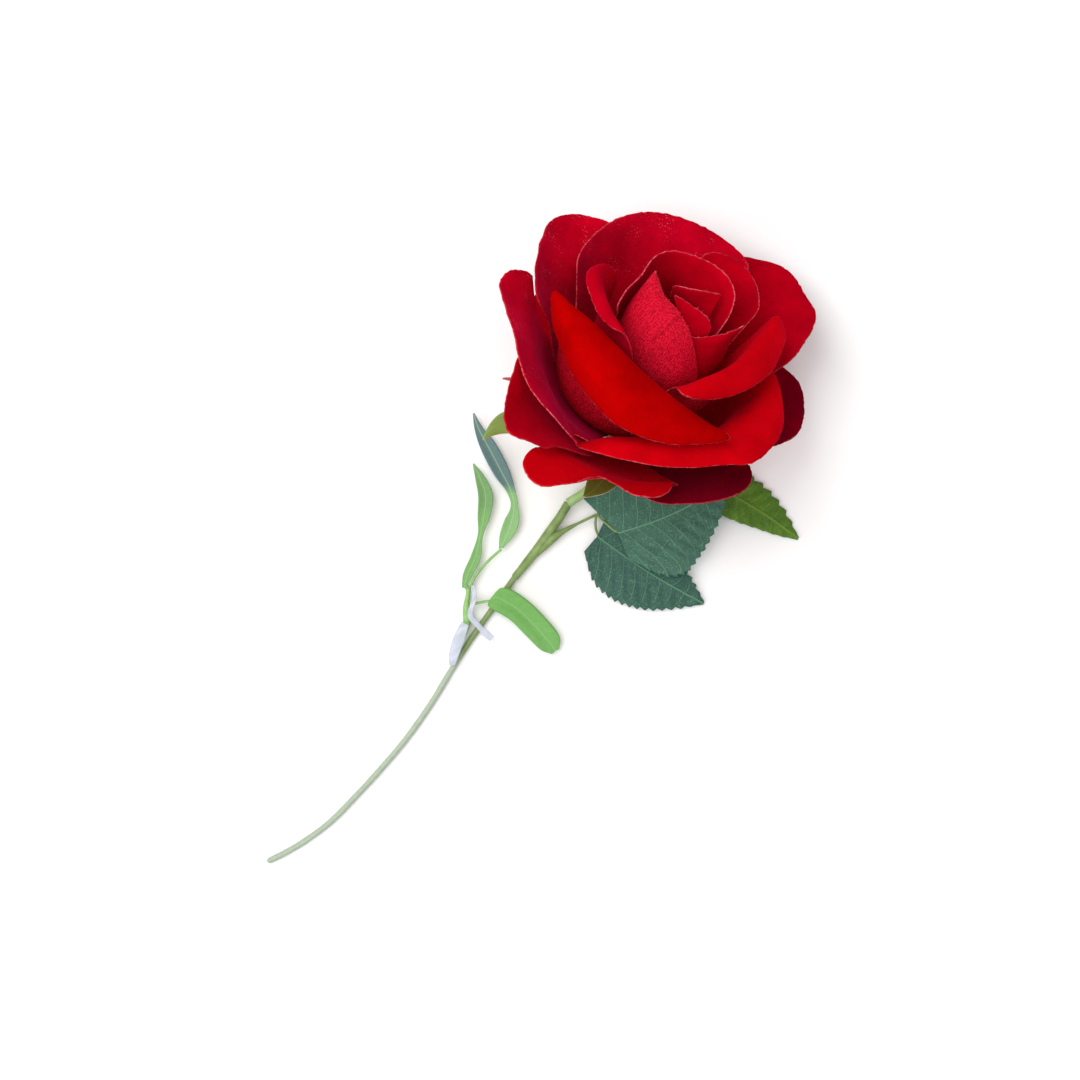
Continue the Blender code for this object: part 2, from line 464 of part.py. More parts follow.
# The origin sits under the middle of the finished piece's box, on the surface.
corners = np.array([v.co for ob in ROOT.children for v in ob.data.vertices])
low, high = corners.min(axis=0), corners.max(axis=0)
ROOT.location = (-(low[0]+high[0])/2, -(low[1]+high[1])/2, -low[2])
bpy.context.view_layer.update()
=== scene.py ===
"""Looks of an artificial velvet rose stem lying on a pale table, seen from above.

Every cloth and plastic piece is made again here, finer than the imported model, on
the same guide curves.  The petals' hidden lower rows reach further round, one petal
corner, the sheath, the petiolules and one tie strip follow their own guides, and the
rims are rounded and rippled.  Tables are in millimetres in the stem's own frame;
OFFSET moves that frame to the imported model's, whose origin is under its middle.
"""
from math import cos, pi, radians, sin

import bpy
import numpy as np
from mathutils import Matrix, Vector


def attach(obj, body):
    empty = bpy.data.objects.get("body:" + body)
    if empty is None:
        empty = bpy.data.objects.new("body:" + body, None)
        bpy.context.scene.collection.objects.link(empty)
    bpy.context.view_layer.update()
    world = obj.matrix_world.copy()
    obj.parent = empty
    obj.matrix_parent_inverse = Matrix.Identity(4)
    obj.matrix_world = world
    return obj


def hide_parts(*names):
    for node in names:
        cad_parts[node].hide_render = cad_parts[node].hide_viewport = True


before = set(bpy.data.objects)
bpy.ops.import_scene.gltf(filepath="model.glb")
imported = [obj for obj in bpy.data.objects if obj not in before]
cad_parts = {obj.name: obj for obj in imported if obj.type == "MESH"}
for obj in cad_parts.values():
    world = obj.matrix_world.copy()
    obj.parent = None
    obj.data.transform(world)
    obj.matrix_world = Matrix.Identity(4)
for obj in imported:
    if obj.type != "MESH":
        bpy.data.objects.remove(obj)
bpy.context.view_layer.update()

# ---------------------------------------------------------------- dimensions
MM = 0.001
OFFSET = np.array([1.0028, 1.4661, 0.2272])
TILT = radians(50.0)            # bloom axis, measured from the vertical
HEADING = radians(68.0)         # direction the bloom leans towards
RECEPTACLE = np.array([26.0, 35.0, 22.0])
PETAL_CLOTH = 0.7               # velvet bonded to satin
BUD_CLOTH = 0.6
LEAF_CLOTH = 0.5
WIRE_R = 0.95                   # lower, bare-coated stem
NECK_R = 1.45                   # sleeve below the calyx

AXIS = np.array([sin(TILT)*cos(HEADING), sin(TILT)*sin(HEADING), cos(TILT)])
SIDE = np.array([sin(HEADING), -cos(HEADING), 0.0])
BACK = np.cross(AXIS, SIDE)

PETAL_STEPS = 64                # facets each way on a petal
SPREAD = 8                      # degrees by which a petal reaches under its neighbours
TOOTH_DEPTH = 1.2               # of the leaflets' saw teeth
VEIN_PITCH = 4.6                # between side veins along the midrib
VEIN_SLANT = .75                # how far a side vein runs ahead per millimetre away from the midrib
VEIN_RISE = .22
PUCKER = .28                    # swelling of the leaf cloth between side veins
FIBRE_LENGTH = 1.1
WORLD_STRENGTH = .40
JOIN = 0.45                     # how far a stalk runs on into its neighbour
TABLE_SIZE = 3.0                # metres
CAMERA_HEIGHT = 750.0
SENSOR = 36.0                   # width of the camera's sensor
VIEW_SPAN = .46879              # width of the view per unit of distance
RIM_THINNING = .45              # share of the cloth's thickness that is left at its cut rim
WEAVE_PITCH = .95               # between threads of the satin back
RIM_SHOWS = .26                 # how far in from the rim the pale backing shows
RIM_ROUNDING = (.10, .05)       # share of the rim that a corner takes, and how far it drops
RIPPLE_REACH = 12.0             # how far in from the rim the ripple reaches
RIM_UNEVEN = .16                # unevenness of the cut
SPRIG_CUP = .10                 # how fast a sprig leaf's sides rise away from its middle
SPRIG_CUP_MOST = .6
TIE_CRINKLE = .16

# ------------------------------------------------------------- petal tables
# A guide curve is a list of (azimuth deg, radius, height) in the bloom frame,
# from one side edge of the petal to the other.


def arc(a0, a1, radius, height, n=5):
    """Curve with radius and height constant, or running from one value to another."""
    r0, r1 = radius if isinstance(radius, tuple) else (radius, radius)
    z0, z1 = height if isinstance(height, tuple) else (height, height)
    return [(a0+(a1-a0)*i/(n-1), r0+(r1-r0)*i/(n-1), z0+(z1-z0)*i/(n-1)) for i in range(n)]


def bowl(first, last, foot_r, foot_z, belly, wall):
    """Foot, belly and wall curves: first and last are the side azimuths of each."""
    return [arc(first[0], last[0], foot_r, foot_z),
            arc(first[1], last[1], belly[0], belly[1]),
            arc(first[2], last[2], wall[0], wall[1])]


OUTER_PETALS = {
    "petal_outer_left": bowl((202, 204, 204), (248, 248, 250), 9.5, 0, (23, 4.5), (33, (12, 10)))
    + [[(204, 39.5, 23.5), (220, 43, 20), (229, 45, 17.7), (238, 46, 16.2), (248, 43, 14.8)],
       [(205, 42, 27.5), (216, 46, 23.5), (226, 52, 21.5), (236, 57, 19), (243, 52, 17.5), (247, 49, 16.5)]],
    "petal_outer_front": bowl((252, 246, 242), (298, 302, 303), 9.5, -1, (22, 2), (33, 7))
    + [arc(241, 303, (43, 36), (10.6, 11)),
       [(239, 46, 12.3), (245, 57, 13), (252, 60, 12), (259, 53, 12), (266, 43, 12), (275, 44, 12.5),
        (285, 46, 12.3), (295, 43.5, 12.5), (304, 37, 12)]],
    "petal_outer_front_right": bowl((302, 301, 296), (344, 344, 345), 9.5, -1, (21, (.3, 2)), (30, (2.8, 6)))
    + [arc(294, 346, (33, 37), (3.4, 10.5)),
       [(292, 36, 3.8), (304, 41.5, 7), (319, 46.5, 12), (331, 47, 13), (341, 44.5, 13), (348, 40, 13)]],
    "petal_outer_right": bowl((348, 348, 346), (394, 392, 398), 9.5, 0, (22, 4), (32, 11))
    + [arc(344, 400, (38, 42), (15.5, 21)),
       [(342, 42, 19), (352, 45, 20), (364, 51, 21), (378, 53, 23), (390, 52, 25), (402, 44, 26)]],
    "petal_outer_back_right": bowl((44, 40, 38), (90, 94, 95), 9.5, 0, (23, 4.5), (34, 10.5))
    + [arc(38, 95, (40, 42), (15, 17)),
       [(38, 41, 17), (50, 46.5, 18), (64, 48, 18), (79, 44.0, 18.1), (94, 43, 19)]],
    "petal_outer_back_left": bowl((104, 102, 101), (150, 158, 162), 9.5, 0, (23, 4.5), (35, 11))
    + [arc(101, 163, (42, 42), (16, 18)),
       [(102, 45, 19), (113, 48, 19), (128, 51.5, 18.5), (145, 49, 20), (163, 43, 21)]],
}

CUP_PETALS = {
    "petal_cup_front_right": bowl((276, 262, 250), (344, 352, 364), 8.3, 2, ((21, 19.5), (5, 8)),
                                  ((27.5, 27), (8, 18)))
    + [[(251, 30, 10), (268, 34, 21), (292, 34.5, 27), (317, 34.5, 30), (342, 33.5, 34), (366, 32, 37)],
       [(250, 33, 11.5), (266, 39.5, 24), (291, 40.5, 30), (317, 42, 32.4), (343, 42, 36.5), (366, 36, 39)],
       [(249, 36, 13), (257, 41, 17.5), (267, 45.5, 22.8), (290, 46.5, 26), (310, 46.5, 27.5),
        (321, 50, 29.7), (334, 48, 31), (348, 45, 33), (366, 37, 37.5)]],
    "petal_cup_left": bowl((197, 189, 188), (240, 246, 251), 8.3, 2, (21, 8.5), ((30, 34), (20, 16)))
    + [[(187, 38.5, 33), (202, 39, 33), (217, 40.5, 31.5), (236, 43, 28), (252, 43, 22)],
       [(187.5, 46, 44.4), (190, 50.3, 46), (196, 53, 44), (206, 51.5, 42.5), (218, 51.5, 40.5),
        (231, 54, 37), (240, 54, 33.5), (248, 52, 30), (257, 50, 25)]],
    "petal_cup_back_left": bowl((140, 134, 131), (176, 182, 186), 8.3, 2, (20.5, 8.5), (29, 21))
    + [arc(129, 196, (37, 34), (37, 33)),
       [(128, 38, 50.5), (140, 49, 48), (151, 51, 47), (163, 47.5, 46), (178, 43.6, 45), (199, 41, 43.5)]],
    "petal_cup_back_right": bowl((24, 18, 14), (76, 80, 82), 8.3, 2, (21, 9), (30, 21))
    + [arc(12, 82, (34, 36), (31, 38)),
       [(13, 38, 36), (20, 43, 38.5), (27, 47.5, 41), (34, 52.5, 42.8), (40, 56, 44), (48, 57, 44.6),
        (56, 58.8, 45.4), (62, 56, 47), (70, 46, 49), (82, 38, 50)]],
}

MID_PETALS = {
    "petal_mid_front": bowl((222, 212, 204), (286, 294, 304), 7.1, 4, ((21.5, 16.5), (9.5, 11)),
                            ((28, 23.5), (21, 21)))
    + [[(200, 31, 42), (228, 27, 41), (256, 26.5, 40), (284, 29.5, 34.5), (309, 36.5, 33.5)],
       [(200, 36, 47.5), (226, 31, 49), (254, 32, 48), (285, 35.5, 43), (310, 43, 37.3)],
       [(199, 37, 47), (226, 37, 46), (256, 41.5, 43.5), (286, 43.5, 40.5), (311, 45, 37.3)],
       [(198, 37.5, 46), (209, 37, 41.5), (221, 36.5, 38.5), (237, 39, 37), (252, 42, 35.8), (268, 45, 34),
        (285, 46, 34), (300, 45, 35), (312, 45, 36.5)]],
    "petal_mid_right": bowl((298, 290, 287), (346, 368, 382), 6.7, 4.5, (14.2, 11.5), ((20, 22), 25))
    + [[(287, 27.5, 40), (306, 25.5, 40), (331, 24.5, 41), (356, 25, 43), (383, 28, 43)],
       [(287, 35, 45.7), (302, 31, 48.3), (329, 28, 50), (358, 27.5, 51), (385, 33, 51)],
       [(286, 37, 46.5), (304, 34.5, 47), (331, 32.5, 48), (359, 32.5, 49), (387, 36, 49.5)],
       [(286, 38.3, 46.2), (305, 36, 44.5), (331, 34.5, 44.5), (360, 35.5, 45), (389, 38.7, 47.5)]],
    "petal_mid_back": bowl((80, 68, 62), (148, 166, 176), 7.1, 4, (17.5, 11.5), (24.5, 28))
    + [arc(60, 180, (31, 29), 42),
       [(61, 39, 52.5), (76, 40, 54), (92, 41, 55), (111, 40, 56), (128, 37, 56.5), (145, 34.5, 55.5),
        (163, 33, 54), (179, 32.5, 52)]],
}

INNER_PETALS = {
    "petal_inner_left": bowl((178, 168, 160), (236, 244, 252), 5.9, 6, (14, 13), (19.5, 30))
    + [[(160, 20, 44), (185, 21, 45), (210, 21.5, 45), (234, 21.5, 43), (256, 23, 40)],
       [(162, 20, 52), (186, 24.5, 54), (212, 24.5, 53.5), (238, 26, 52), (257, 27, 48.5)],
       [(164, 21, 53.5), (188, 28.5, 53.5), (212, 28.3, 52), (236, 29, 50.5), (257, 28.3, 48.8)]],
    "petal_inner_right": bowl((26, 24, 24), (76, 82, 84), 5.9, 6, (15, 13), (20, 30))
    + [arc(25, 84, (24.5, 24), 44),
       [(27, 28, 52), (38, 29.5, 53.3), (50, 31.5, 54.2), (64, 33, 54.5), (76, 30, 55.5), (85, 25, 55)]],
}

BUD_PETALS = {
    "petal_bud_curl": [
        arc(10, 130, 4.8, 9), arc(10, 168, 11, 17), arc(8, 196, (14, 16), 33),
        [(4, 15.2, 44), (35, 16, 48), (80, 14, 49), (125, 14, 49), (170, 14.5, 48), (212, 17.5, 46)],
        [(6, 16.4, 48.5), (12, 17, 53.5), (22, 17, 58), (45, 16.3, 60), (80, 13.5, 61), (116, 14, 60.5),
         (139, 13, 60), (182, 12.5, 57), (208, 17, 54), (219, 20.5, 50)]],
    "petal_bud_right": [
        arc(324, 356, 3.3, 14, 4), arc(324, 354, 9.8, 20.5, 4),
        [(324, 14.6, 33), (338, 15.6, 33.5), (352, 17.4, 34), (365, 19, 34)],
        [(324, 11.5, 42.5), (338, 13.6, 44), (352, 17, 44.5), (370, 20.5, 45)],
        [(324, 10, 46), (343, 13.5, 47.2), (359, 17.4, 48.2), (372, 22.5, 50)]],
}

# Innermost petals, given as (x, y, z) rows because they close over the axis.
CORE_PETALS = {
    "petal_bud_side": [
        [(1.7, -1.2, 15.5), (2, -.2, 15.5), (1.9, .8, 15.5)],
        [(5.2, -3.6, 21), (6.2, -1.6, 21), (6.4, .6, 21)],
        [(9.2, -5.6, 33), (11, -3.4, 33), (11.8, -.6, 33)],
        [(5.5, -5.2, 45), (9, -4.2, 44.5), (12.4, -2.4, 44)],
        [(-1.5, -2.6, 56), (4, -2.3, 54.6), (10.5, -1.5, 52), (13.2, -1.8, 49)]],
    "petal_bud_inner": [
        [(1.2, 2.9, 14), (2.2, 2.4, 14), (2.9, 1.8, 14)],
        [(1, 5, 24), (4.5, 5, 24), (7.6, 3.6, 24)],
        [(-1, 5, 40), (5, 5, 40), (10.5, 5, 40)],
        [(-2.6, 1, 56.4), (5.8, 3, 57), (12, 7, 56)]],
    "petal_bud_front": [
        [(-3.3, 1.2, 12), (-3.2, -1.7, 12), (-1, -3.6, 12), (1.6, -3.2, 12), (3.2, -2.6, 12)],
        [(-10, 1, 20), (-9, -6, 20), (-1.5, -10.8, 20), (6.5, -10.2, 20), (10.4, -6.8, 20)],
        [(-12.4, .8, 33), (-12.3, -8.4, 33), (-2, -15.3, 33), (9, -14.6, 33), (15, -8.8, 33.5)],
        [(-12, 1.2, 46), (-12.4, -6.6, 46), (-5.5, -12.4, 46), (4, -12.2, 46), (8.8, -8.2, 47)],
        [(-10.6, .5, 53), (-11, -4.4, 53), (-7, -8.6, 53.5), (-1, -8.4, 53.5), (2.4, -6.6, 53)],
        [(-9.6, .5, 56.4), (-10, -2.8, 56.8), (-8.4, -5.6, 57.2), (-6.2, -6.6, 57), (-3.8, -6, 56.4)],
        [(-9, -.2, 59.4), (-9.2, -1.4, 60), (-8.8, -2.4, 60.2), (-8.1, -3.2, 60), (-7.2, -3.8, 59.4)]],
}

# Sepals: azimuth, radius, height and half-width of each row, foot to tip.
SEPALS = {
    "sepal_left": [(205, 6, -3.2, 3), (201, 15, -4, 4.6), (198, 26, -4.6, 6), (201, 37, -4.6, 5.2),
                   (214, 47, -4, .4)],
    "sepal_back_left": [(133, 6, -3.2, 3), (136, 15, -4, 4.2), (146, 24, -4.4, 4.2), (160, 33, -4.4, 3),
                        (171, 42, -4, .4)],
    "sepal_back_right": [(61, 6, -3.2, 3), (61, 15, -3, 4.4), (61, 23, -.6, 4.6), (60, 30, 3, 3),
                         (59, 36, 6, .4)],
    "sepal_right": [(349, 6, -3.2, 3), (350, 15, -3.8, 4.4), (352, 24, -3.6, 4.6), (354, 32, -2.6, 3),
                    (357, 40, -1.5, .4)],
    "sepal_front": [(277, 6, -3.2, 3), (275, 14, -4, 4.6), (271, 21, -4.4, 4.8), (268, 27, -4.8, 3.4),
                    (264, 33, -5, .4)],
}

# ------------------------------------------------------- stem, leaves, sprig
# World positions on the surface, millimetres.
CALYX_PROFILE = [(7.4, -4.1), (7.2, -5), (6.2, -7), (4.9, -9.5), (3.4, -12), (2.4, -14)]
NECK_PATH = [(21.7, 24.3, 12.4), (19.6, 20.6, 9.6), (16.8, 17.6, 7.2), (13.6, 14.8, 5.2), (9.6, 12.3, 3.9)]
UPPER_PATH = [(8.9, 11.5, 3.7), (6.5, 7.5, 3.0), (3.3, 3.0, 2.5), (.2, -1.6, 2.1), (-4, -7, 1.85),
              (-7.9, -11.8, 1.7)]
WIRE_PATH = [(-8.3, -12.3, 1.6), (-16.2, -23.4, 1.3), (-22.7, -32.6, 1.05), (-29.2, -42.9, .97),
             (-35.7, -53.6, .95),
             (-43.8, -65, .95), (-52, -74.7, .95), (-60.1, -83.5, .95), (-68.2, -91.7, .95),
             (-76.3, -97.8, .95),
             (-82.8, -101.7, .95), (-88.7, -104.6, .95)]
SHEATH_PATH = [(-1.9, -5.4, 2.0), (1.2, -2.2, 2.2), (4.5, .9, 2.3), (7.8, 3.0, 2.2), (11.6, 5.0, 2)]
RACHIS_PATH = [(11.8, 5.1, 2), (18.9, 8.4, 2.2), (28, 11.6, 2), (38, 16.4, 2), (48.6, 20.4, 2.2)]
PETIOLULE_UPPER = [(18.6, 8.1, 2.3), (21.4, 5.4, 3.0), (24.4, 2.9, 3.9), (26.6, 2.6, 4.2)]
PETIOLULE_LOWER = [(18.2, 7.9, 2.0), (18.0, 5.2, 1.9), (18.3, 3.0, 1.9), (19.0, 1.4, 2.1)]

# Leaflets: (base, tip, lift of the middle, roll about the midrib, widths left and right of the midrib)
LEAFLETS = {
    "leaflet_upper": dict(base=(25.3, 2.2, 4.4), tip=(61.5, 19.6, 6.8), bow=-2.0, lift=1.2, roll=-6,
                          left=(15.5, 18, 18.5, 16.5, 13, 8, .4), right=(9, 17, 19.5, 16.6, 12.5, 7.5, .4),
                          sweep=(-5.5, -.5), slot="leaf_teal"),
    "leaflet_lower": dict(base=(18.6, 1.2, 2.2), tip=(53.2, -20.6, 1.2), bow=-1.0, lift=.9, roll=0,
                          left=(7, 12, 13, 11.5, 8.5, 5, .4), right=(6.5, 12.5, 14, 13, 10.4, 6, .4),
                          sweep=(-1, -1), slot="leaf_teal"),
    "leaflet_end": dict(base=(49.6, 20.2, 3.0), tip=(84.0, .4, .45), bow=1.5, lift=1.2, roll=-12,
                        left=(4.5, 8, 9, 8.5, 7, 4.4, .4), right=(4, 7, 7.6, 7, 5.4, 3.4, .4),
                        sweep=(-1, -1), slot="leaf_lime"),
}

TWIG_PATH = [(-27.4, -36.6, 2.9), (-25.2, -31.4, 2.4), (-23.7, -26.6, 2.3), (-23.9, -21.4, 2.3),
             (-23.2, -16.6, 2.3), (-23.9, -15.2, 2.7)]
SPRIG_STALK = [(-22.8, -15.4, 2.5), (-20.6, -11.2, 2.7), (-16.8, -6.8, 2.7), (-12.9, -3.3, 2.7)]
SPRIG_STALK_LOW = [(-22.3, -20.9, 2.6), (-19.2, -20.2, 3.2), (-16.8, -19.8, 3.9)]

# Narrow leaves: rows of (x, y, z, half-width, heading of the row's width in degrees)
SPRIG_LEAVES = {
    "sprig_leaf_tall": [(-12.6, -2.7, 2.9, .8, 10), (-10.8, 1.4, 3, 2.3, 2), (-9.2, 6, 3, 2.4, -4),
                        (-8.3, 11.4, 3.1, 1.2, 14), (-9.6, 16.5, 3.2, 1.5, 24), (-12.6, 22.4, 3.2, 2.6, 28),
                        (-16.6, 30, 3.2, 2.6, 30), (-19.8, 36, 3.1, 1.4, 20), (-21.6, 41.3, 3, .25, 12)],
    "sprig_leaf_left": [(-24.6, -15.6, 3.2, .8, -20), (-23.4, -11.2, 3.1, 1.5, -16),
                        (-20.8, -5.4, 3, 1.6, -16),
                        (-19.3, 1.6, 3, .9, -12), (-18.2, 7.6, 3, 2, -2), (-17.6, 14.4, 3, 2.4, 2),
                        (-19.4, 20.2, 3, 1.6, 12), (-21.6, 24.8, 3, .25, 14)],
    "sprig_leaf_right": [(-16.4, -19.8, 4.4, 1.2, 62), (-14.6, -18.6, 4.6, 3.6, 58),
                         (-11.6, -19.6, 4.6, 4.4, 50),
                         (-6.4, -23, 4.4, 4.3, 42), (-1.4, -28, 3.6, 4.3, 40), (3.2, -33.2, 2.8, 3.8, 38),
                         (5, -36, 2.4, 1.6, 36)],
}

TIES = {                         # strips of film: rows of (x, y, z, half-width, heading)
    "tie_strip_upper": [(-21.6, -14.6, 4.4, .7, 10), (-21.3, -19, 4.6, .8, 0), (-22.6, -24.2, 4.7, .9, 20),
                        (-19.9, -27.8, 4.5, .9, 50), (-17.2, -30.6, 4.1, 1.1, 45), (-15.6, -32, 3.7, .9, 45)],
    "tie_strip_lower": [(-24.2, -27.0, 4.6, 1.3, -25), (-26.2, -32.0, 4.6, 1.8, -28),
                        (-27.9, -37.2, 4.3, 1.6, -15), (-28.4, -40.6, 4, .9, 0)],
}


# ------------------------------------------------------------------ geometry
def loft(points, t):
    """Catmull-Rom curve through equally spaced rows: points (n, ...), t in [0, 1]."""
    v = np.asarray(points, float)
    n = len(v)-1
    x = np.clip(np.asarray(t, float), 0, 1)*n
    i = np.clip(np.floor(x).astype(int), 0, n-1)
    f = (x-i).reshape((-1,)+(1,)*(v.ndim-1))
    ext = np.concatenate([[2*v[0]-v[1]], v, [2*v[-1]-v[-2]]])
    p0, p1, p2, p3 = ext[i], ext[i+1], ext[i+2], ext[i+3]
    return p1+0.5*f*(p2-p0+f*(2*p0-5*p1+4*p2-p3+f*(3*(p1-p2)+p3-p0)))


def bloom_xyz(curve):
    """(azimuth, radius, height) rows to x, y, z in the bloom frame."""
    c = np.asarray(curve, float)
    a = np.radians(c[:, 0])
    return np.stack([c[:, 1]*np.cos(a), c[:, 1]*np.sin(a), c[:, 2]], -1)


def to_world(points):
    p = np.asarray(points, float)
    return RECEPTACLE+p[..., :1]*SIDE+p[..., 1:2]*BACK+p[..., 2:3]*AXIS


def spread(curves, degrees):
    """Guide curves whose hidden lower rows reach further round, under the neighbouring petals."""
    wide = [list(map(list, curve)) for curve in curves]
    for curve in wide[:3]:
        middle = (curve[0][0]+curve[-1][0])/2
        half = abs(curve[-1][0]-curve[0][0])/2
        for point in curve:
            point[0] = middle+(point[0]-middle)*(half+degrees)/half
    return wide


def petal_grid(curves, across, along, corner, cylindrical=True):
    """World points, evenly spaced from foot to rim in each column; corner rounds the rim's two ends."""
    u = np.linspace(0, 1, across+1)
    width, drop = corner
    end = np.clip(1-np.minimum(u, 1-u)/width, 0, 1)
    reach = 1-drop*(1-np.sqrt(1-end**2))
    if cylindrical:
        rows = np.stack([bloom_xyz(loft(c, u)) for c in curves])
    else:
        rows = np.stack([loft(c, u) for c in curves])
    t = np.linspace(0, 1, 6*along+1)
    fine = loft(rows, t)
    step = np.linalg.norm(np.diff(fine, axis=0), axis=-1)
    out = np.zeros((along+1, across+1, 3))
    for k in range(across+1):
        run = np.concatenate([[0], np.cumsum(step[:, k])])
        at = np.interp(np.linspace(0, run[-1]*reach[k], along+1), run, t)
        out[:, k] = loft(rows[:, k], at)
    return to_world(out)


def sepal_grid(rows, across=12, along=48):
    """Narrow pointed blade under the petals; rows are (azimuth, radius, height, half-width)."""
    r = loft(rows, np.linspace(0, 1, along+1))
    centre = bloom_xyz(r[:, :3])
    angle = np.radians(r[:, 0])
    side = np.stack([-np.sin(angle), np.cos(angle), np.zeros(len(r))], -1)
    u = np.linspace(-1, 1, across+1)
    grid = centre[:, None]+u[None, :, None]*np.maximum(r[:, 3], .3)[:, None, None]*side[:, None]
    return to_world(grid)


def strip_grid(rows, across=12, along=96):
    """Narrow blade in world space; rows are (x, y, z, half-width, heading of the width)."""
    r = loft(rows, np.linspace(0, 1, along+1))
    angle = np.radians(r[:, 4])
    side = np.stack([np.cos(angle), np.sin(angle), np.zeros(len(r))], -1)
    u = np.linspace(-1, 1, across+1)
    return r[:, None, :3]+u[None, :, None]*np.maximum(r[:, 3], .25)[:, None, None]*side[:, None]


def saw(x):
    """Tooth that rises slowly and drops at once, 0 to 1 once per unit."""
    f = x-np.floor(x)
    return np.where(f < .82, f/.82, (1-f)/.18)


def leaflet_grid(base, tip, bow, lift, roll, left, right, sweep, teeth, smooth_side,
                 across=40, along=150):
    """Ovate toothed leaflet: half-widths on each side of a bowed midrib, lobes swept back at the base."""
    base, tip = np.array(base, float), np.array(tip, float)
    length = np.linalg.norm(tip-base)
    t = np.linspace(0, 1, along+1)
    ahead = (tip-base)/length
    flat = np.array([-ahead[1], ahead[0], 0.0])
    flat /= np.linalg.norm(flat)
    up = np.cross(ahead, flat)
    rib = base+t[:, None]*(tip-base)+(bow*np.sin(pi*t))[:, None]*flat+(lift*np.sin(pi*t))[:, None]*up
    out = flat*cos(radians(roll))+up*sin(radians(roll))
    u = np.linspace(-1, 1, across+1)
    grid = np.zeros((along+1, across+1, 3))
    tooth = TOOTH_DEPTH*(saw(teeth*t)-.75)*np.clip(6*t, 0, 1)*np.clip(8*(1-t), 0, 1)
    for k, w in enumerate(u):
        depth = .25 if w*smooth_side > 0 else 1
        half = loft(left if w > 0 else right, t)+depth*tooth*abs(w)**5
        back = sweep[0] if w > 0 else sweep[1]
        lobe = back*abs(w)*(1-t)**3
        sag = -.35*abs(w)**2*lift*np.sin(pi*t)
        rise = VEIN_RISE*np.exp(-(w*half/.45)**2)
        pucker = PUCKER*np.cos(2*pi*(length*t-VEIN_SLANT*abs(w)*half)/VEIN_PITCH)*abs(w)*(1-w*w)*1.6
        grid[:, k] = rib+(w*half)[:, None]*out+lobe[:, None]*ahead+(sag+rise+pucker)[:, None]*up
    return grid[:, ::-1]


def waver(x, seed, count=5):
    """Smooth random line with values about -1 to 1."""
    rng = np.random.default_rng(seed)
    phases, rates = rng.uniform(0, 2*pi, count), rng.uniform(.6, 2.6, count)
    return sum(np.sin(r*x+p) for r, p in zip(rates, phases))/count*1.6


def normals_of(grid):
    normal = np.cross(np.gradient(grid, axis=1), np.gradient(grid, axis=0))
    return normal/np.maximum(np.linalg.norm(normal, axis=-1, keepdims=True), 1e-9)


def measures(grid):
    """Distance across from the middle column and along from the foot, in millimetres."""
    across = np.linalg.norm(np.diff(grid, axis=1), axis=-1)
    across = np.concatenate([np.zeros((len(grid), 1)), np.cumsum(across, axis=1)], axis=1)
    along = np.linalg.norm(np.diff(grid, axis=0), axis=-1)
    along = np.concatenate([np.zeros((1, grid.shape[1])), np.cumsum(along, axis=0)])
    return across-across[:, [grid.shape[1]//2]], along


def ruffled(grid, amount, seed):
    """The grid with a light ripple that grows towards the rim, and a rim cut slightly unevenly."""
    across, along = measures(grid)
    near_rim = np.clip(1-(along[-1]-along)/RIPPLE_REACH, 0, 1)**2
    ripple = amount*waver(across/4.2, seed)+.35*amount*waver(across/1.7, seed+1)
    uneven = RIM_UNEVEN*waver(across/.9, seed+2)*np.clip(1-(along[-1]-along)/3, 0, 1)
    ahead = np.gradient(grid, axis=0)
    ahead /= np.maximum(np.linalg.norm(ahead, axis=-1, keepdims=True), 1e-9)
    return grid+(near_rim*ripple)[..., None]*normals_of(grid)+uneven[..., None]*ahead


def creased(grid, creases):
    """The grid with narrow tucks along straight lines seen from above: (x0, y0, x1, y1, height, width)."""
    g = grid.copy()
    normal = normals_of(grid)
    for x0, y0, x1, y1, height, width in creases:
        start, run = np.array([x0, y0]), np.array([x1-x0, y1-y0])
        length = np.linalg.norm(run)
        run = run/length
        away = grid[..., :2]-start
        on = away@run/length
        off = away@np.array([-run[1], run[0]])
        fade = np.clip(8*on+.4, 0, 1)*np.clip(8*(1-on)+.4, 0, 1)
        shape = np.exp(-(off/width)**2)-.8*np.exp(-((off+1.5*width)/width)**2)
        g += (height*shape*fade)[..., None]*normal
    return g


def new_piece(name, vertices, faces, materials, node):
    """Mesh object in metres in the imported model's frame, standing for one of its nodes."""
    mesh = bpy.data.meshes.new(name)
    points = (np.asarray(vertices, float)+OFFSET)*MM
    mesh.from_pydata(points.tolist(), [], faces)
    for material in materials:
        mesh.materials.append(material)
    mesh.polygons.foreach_set("use_smooth", [True]*len(mesh.polygons))
    piece = bpy.data.objects.new(name, mesh)
    bpy.context.scene.collection.objects.link(piece)
    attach(piece, "root")
    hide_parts(node)
    return piece


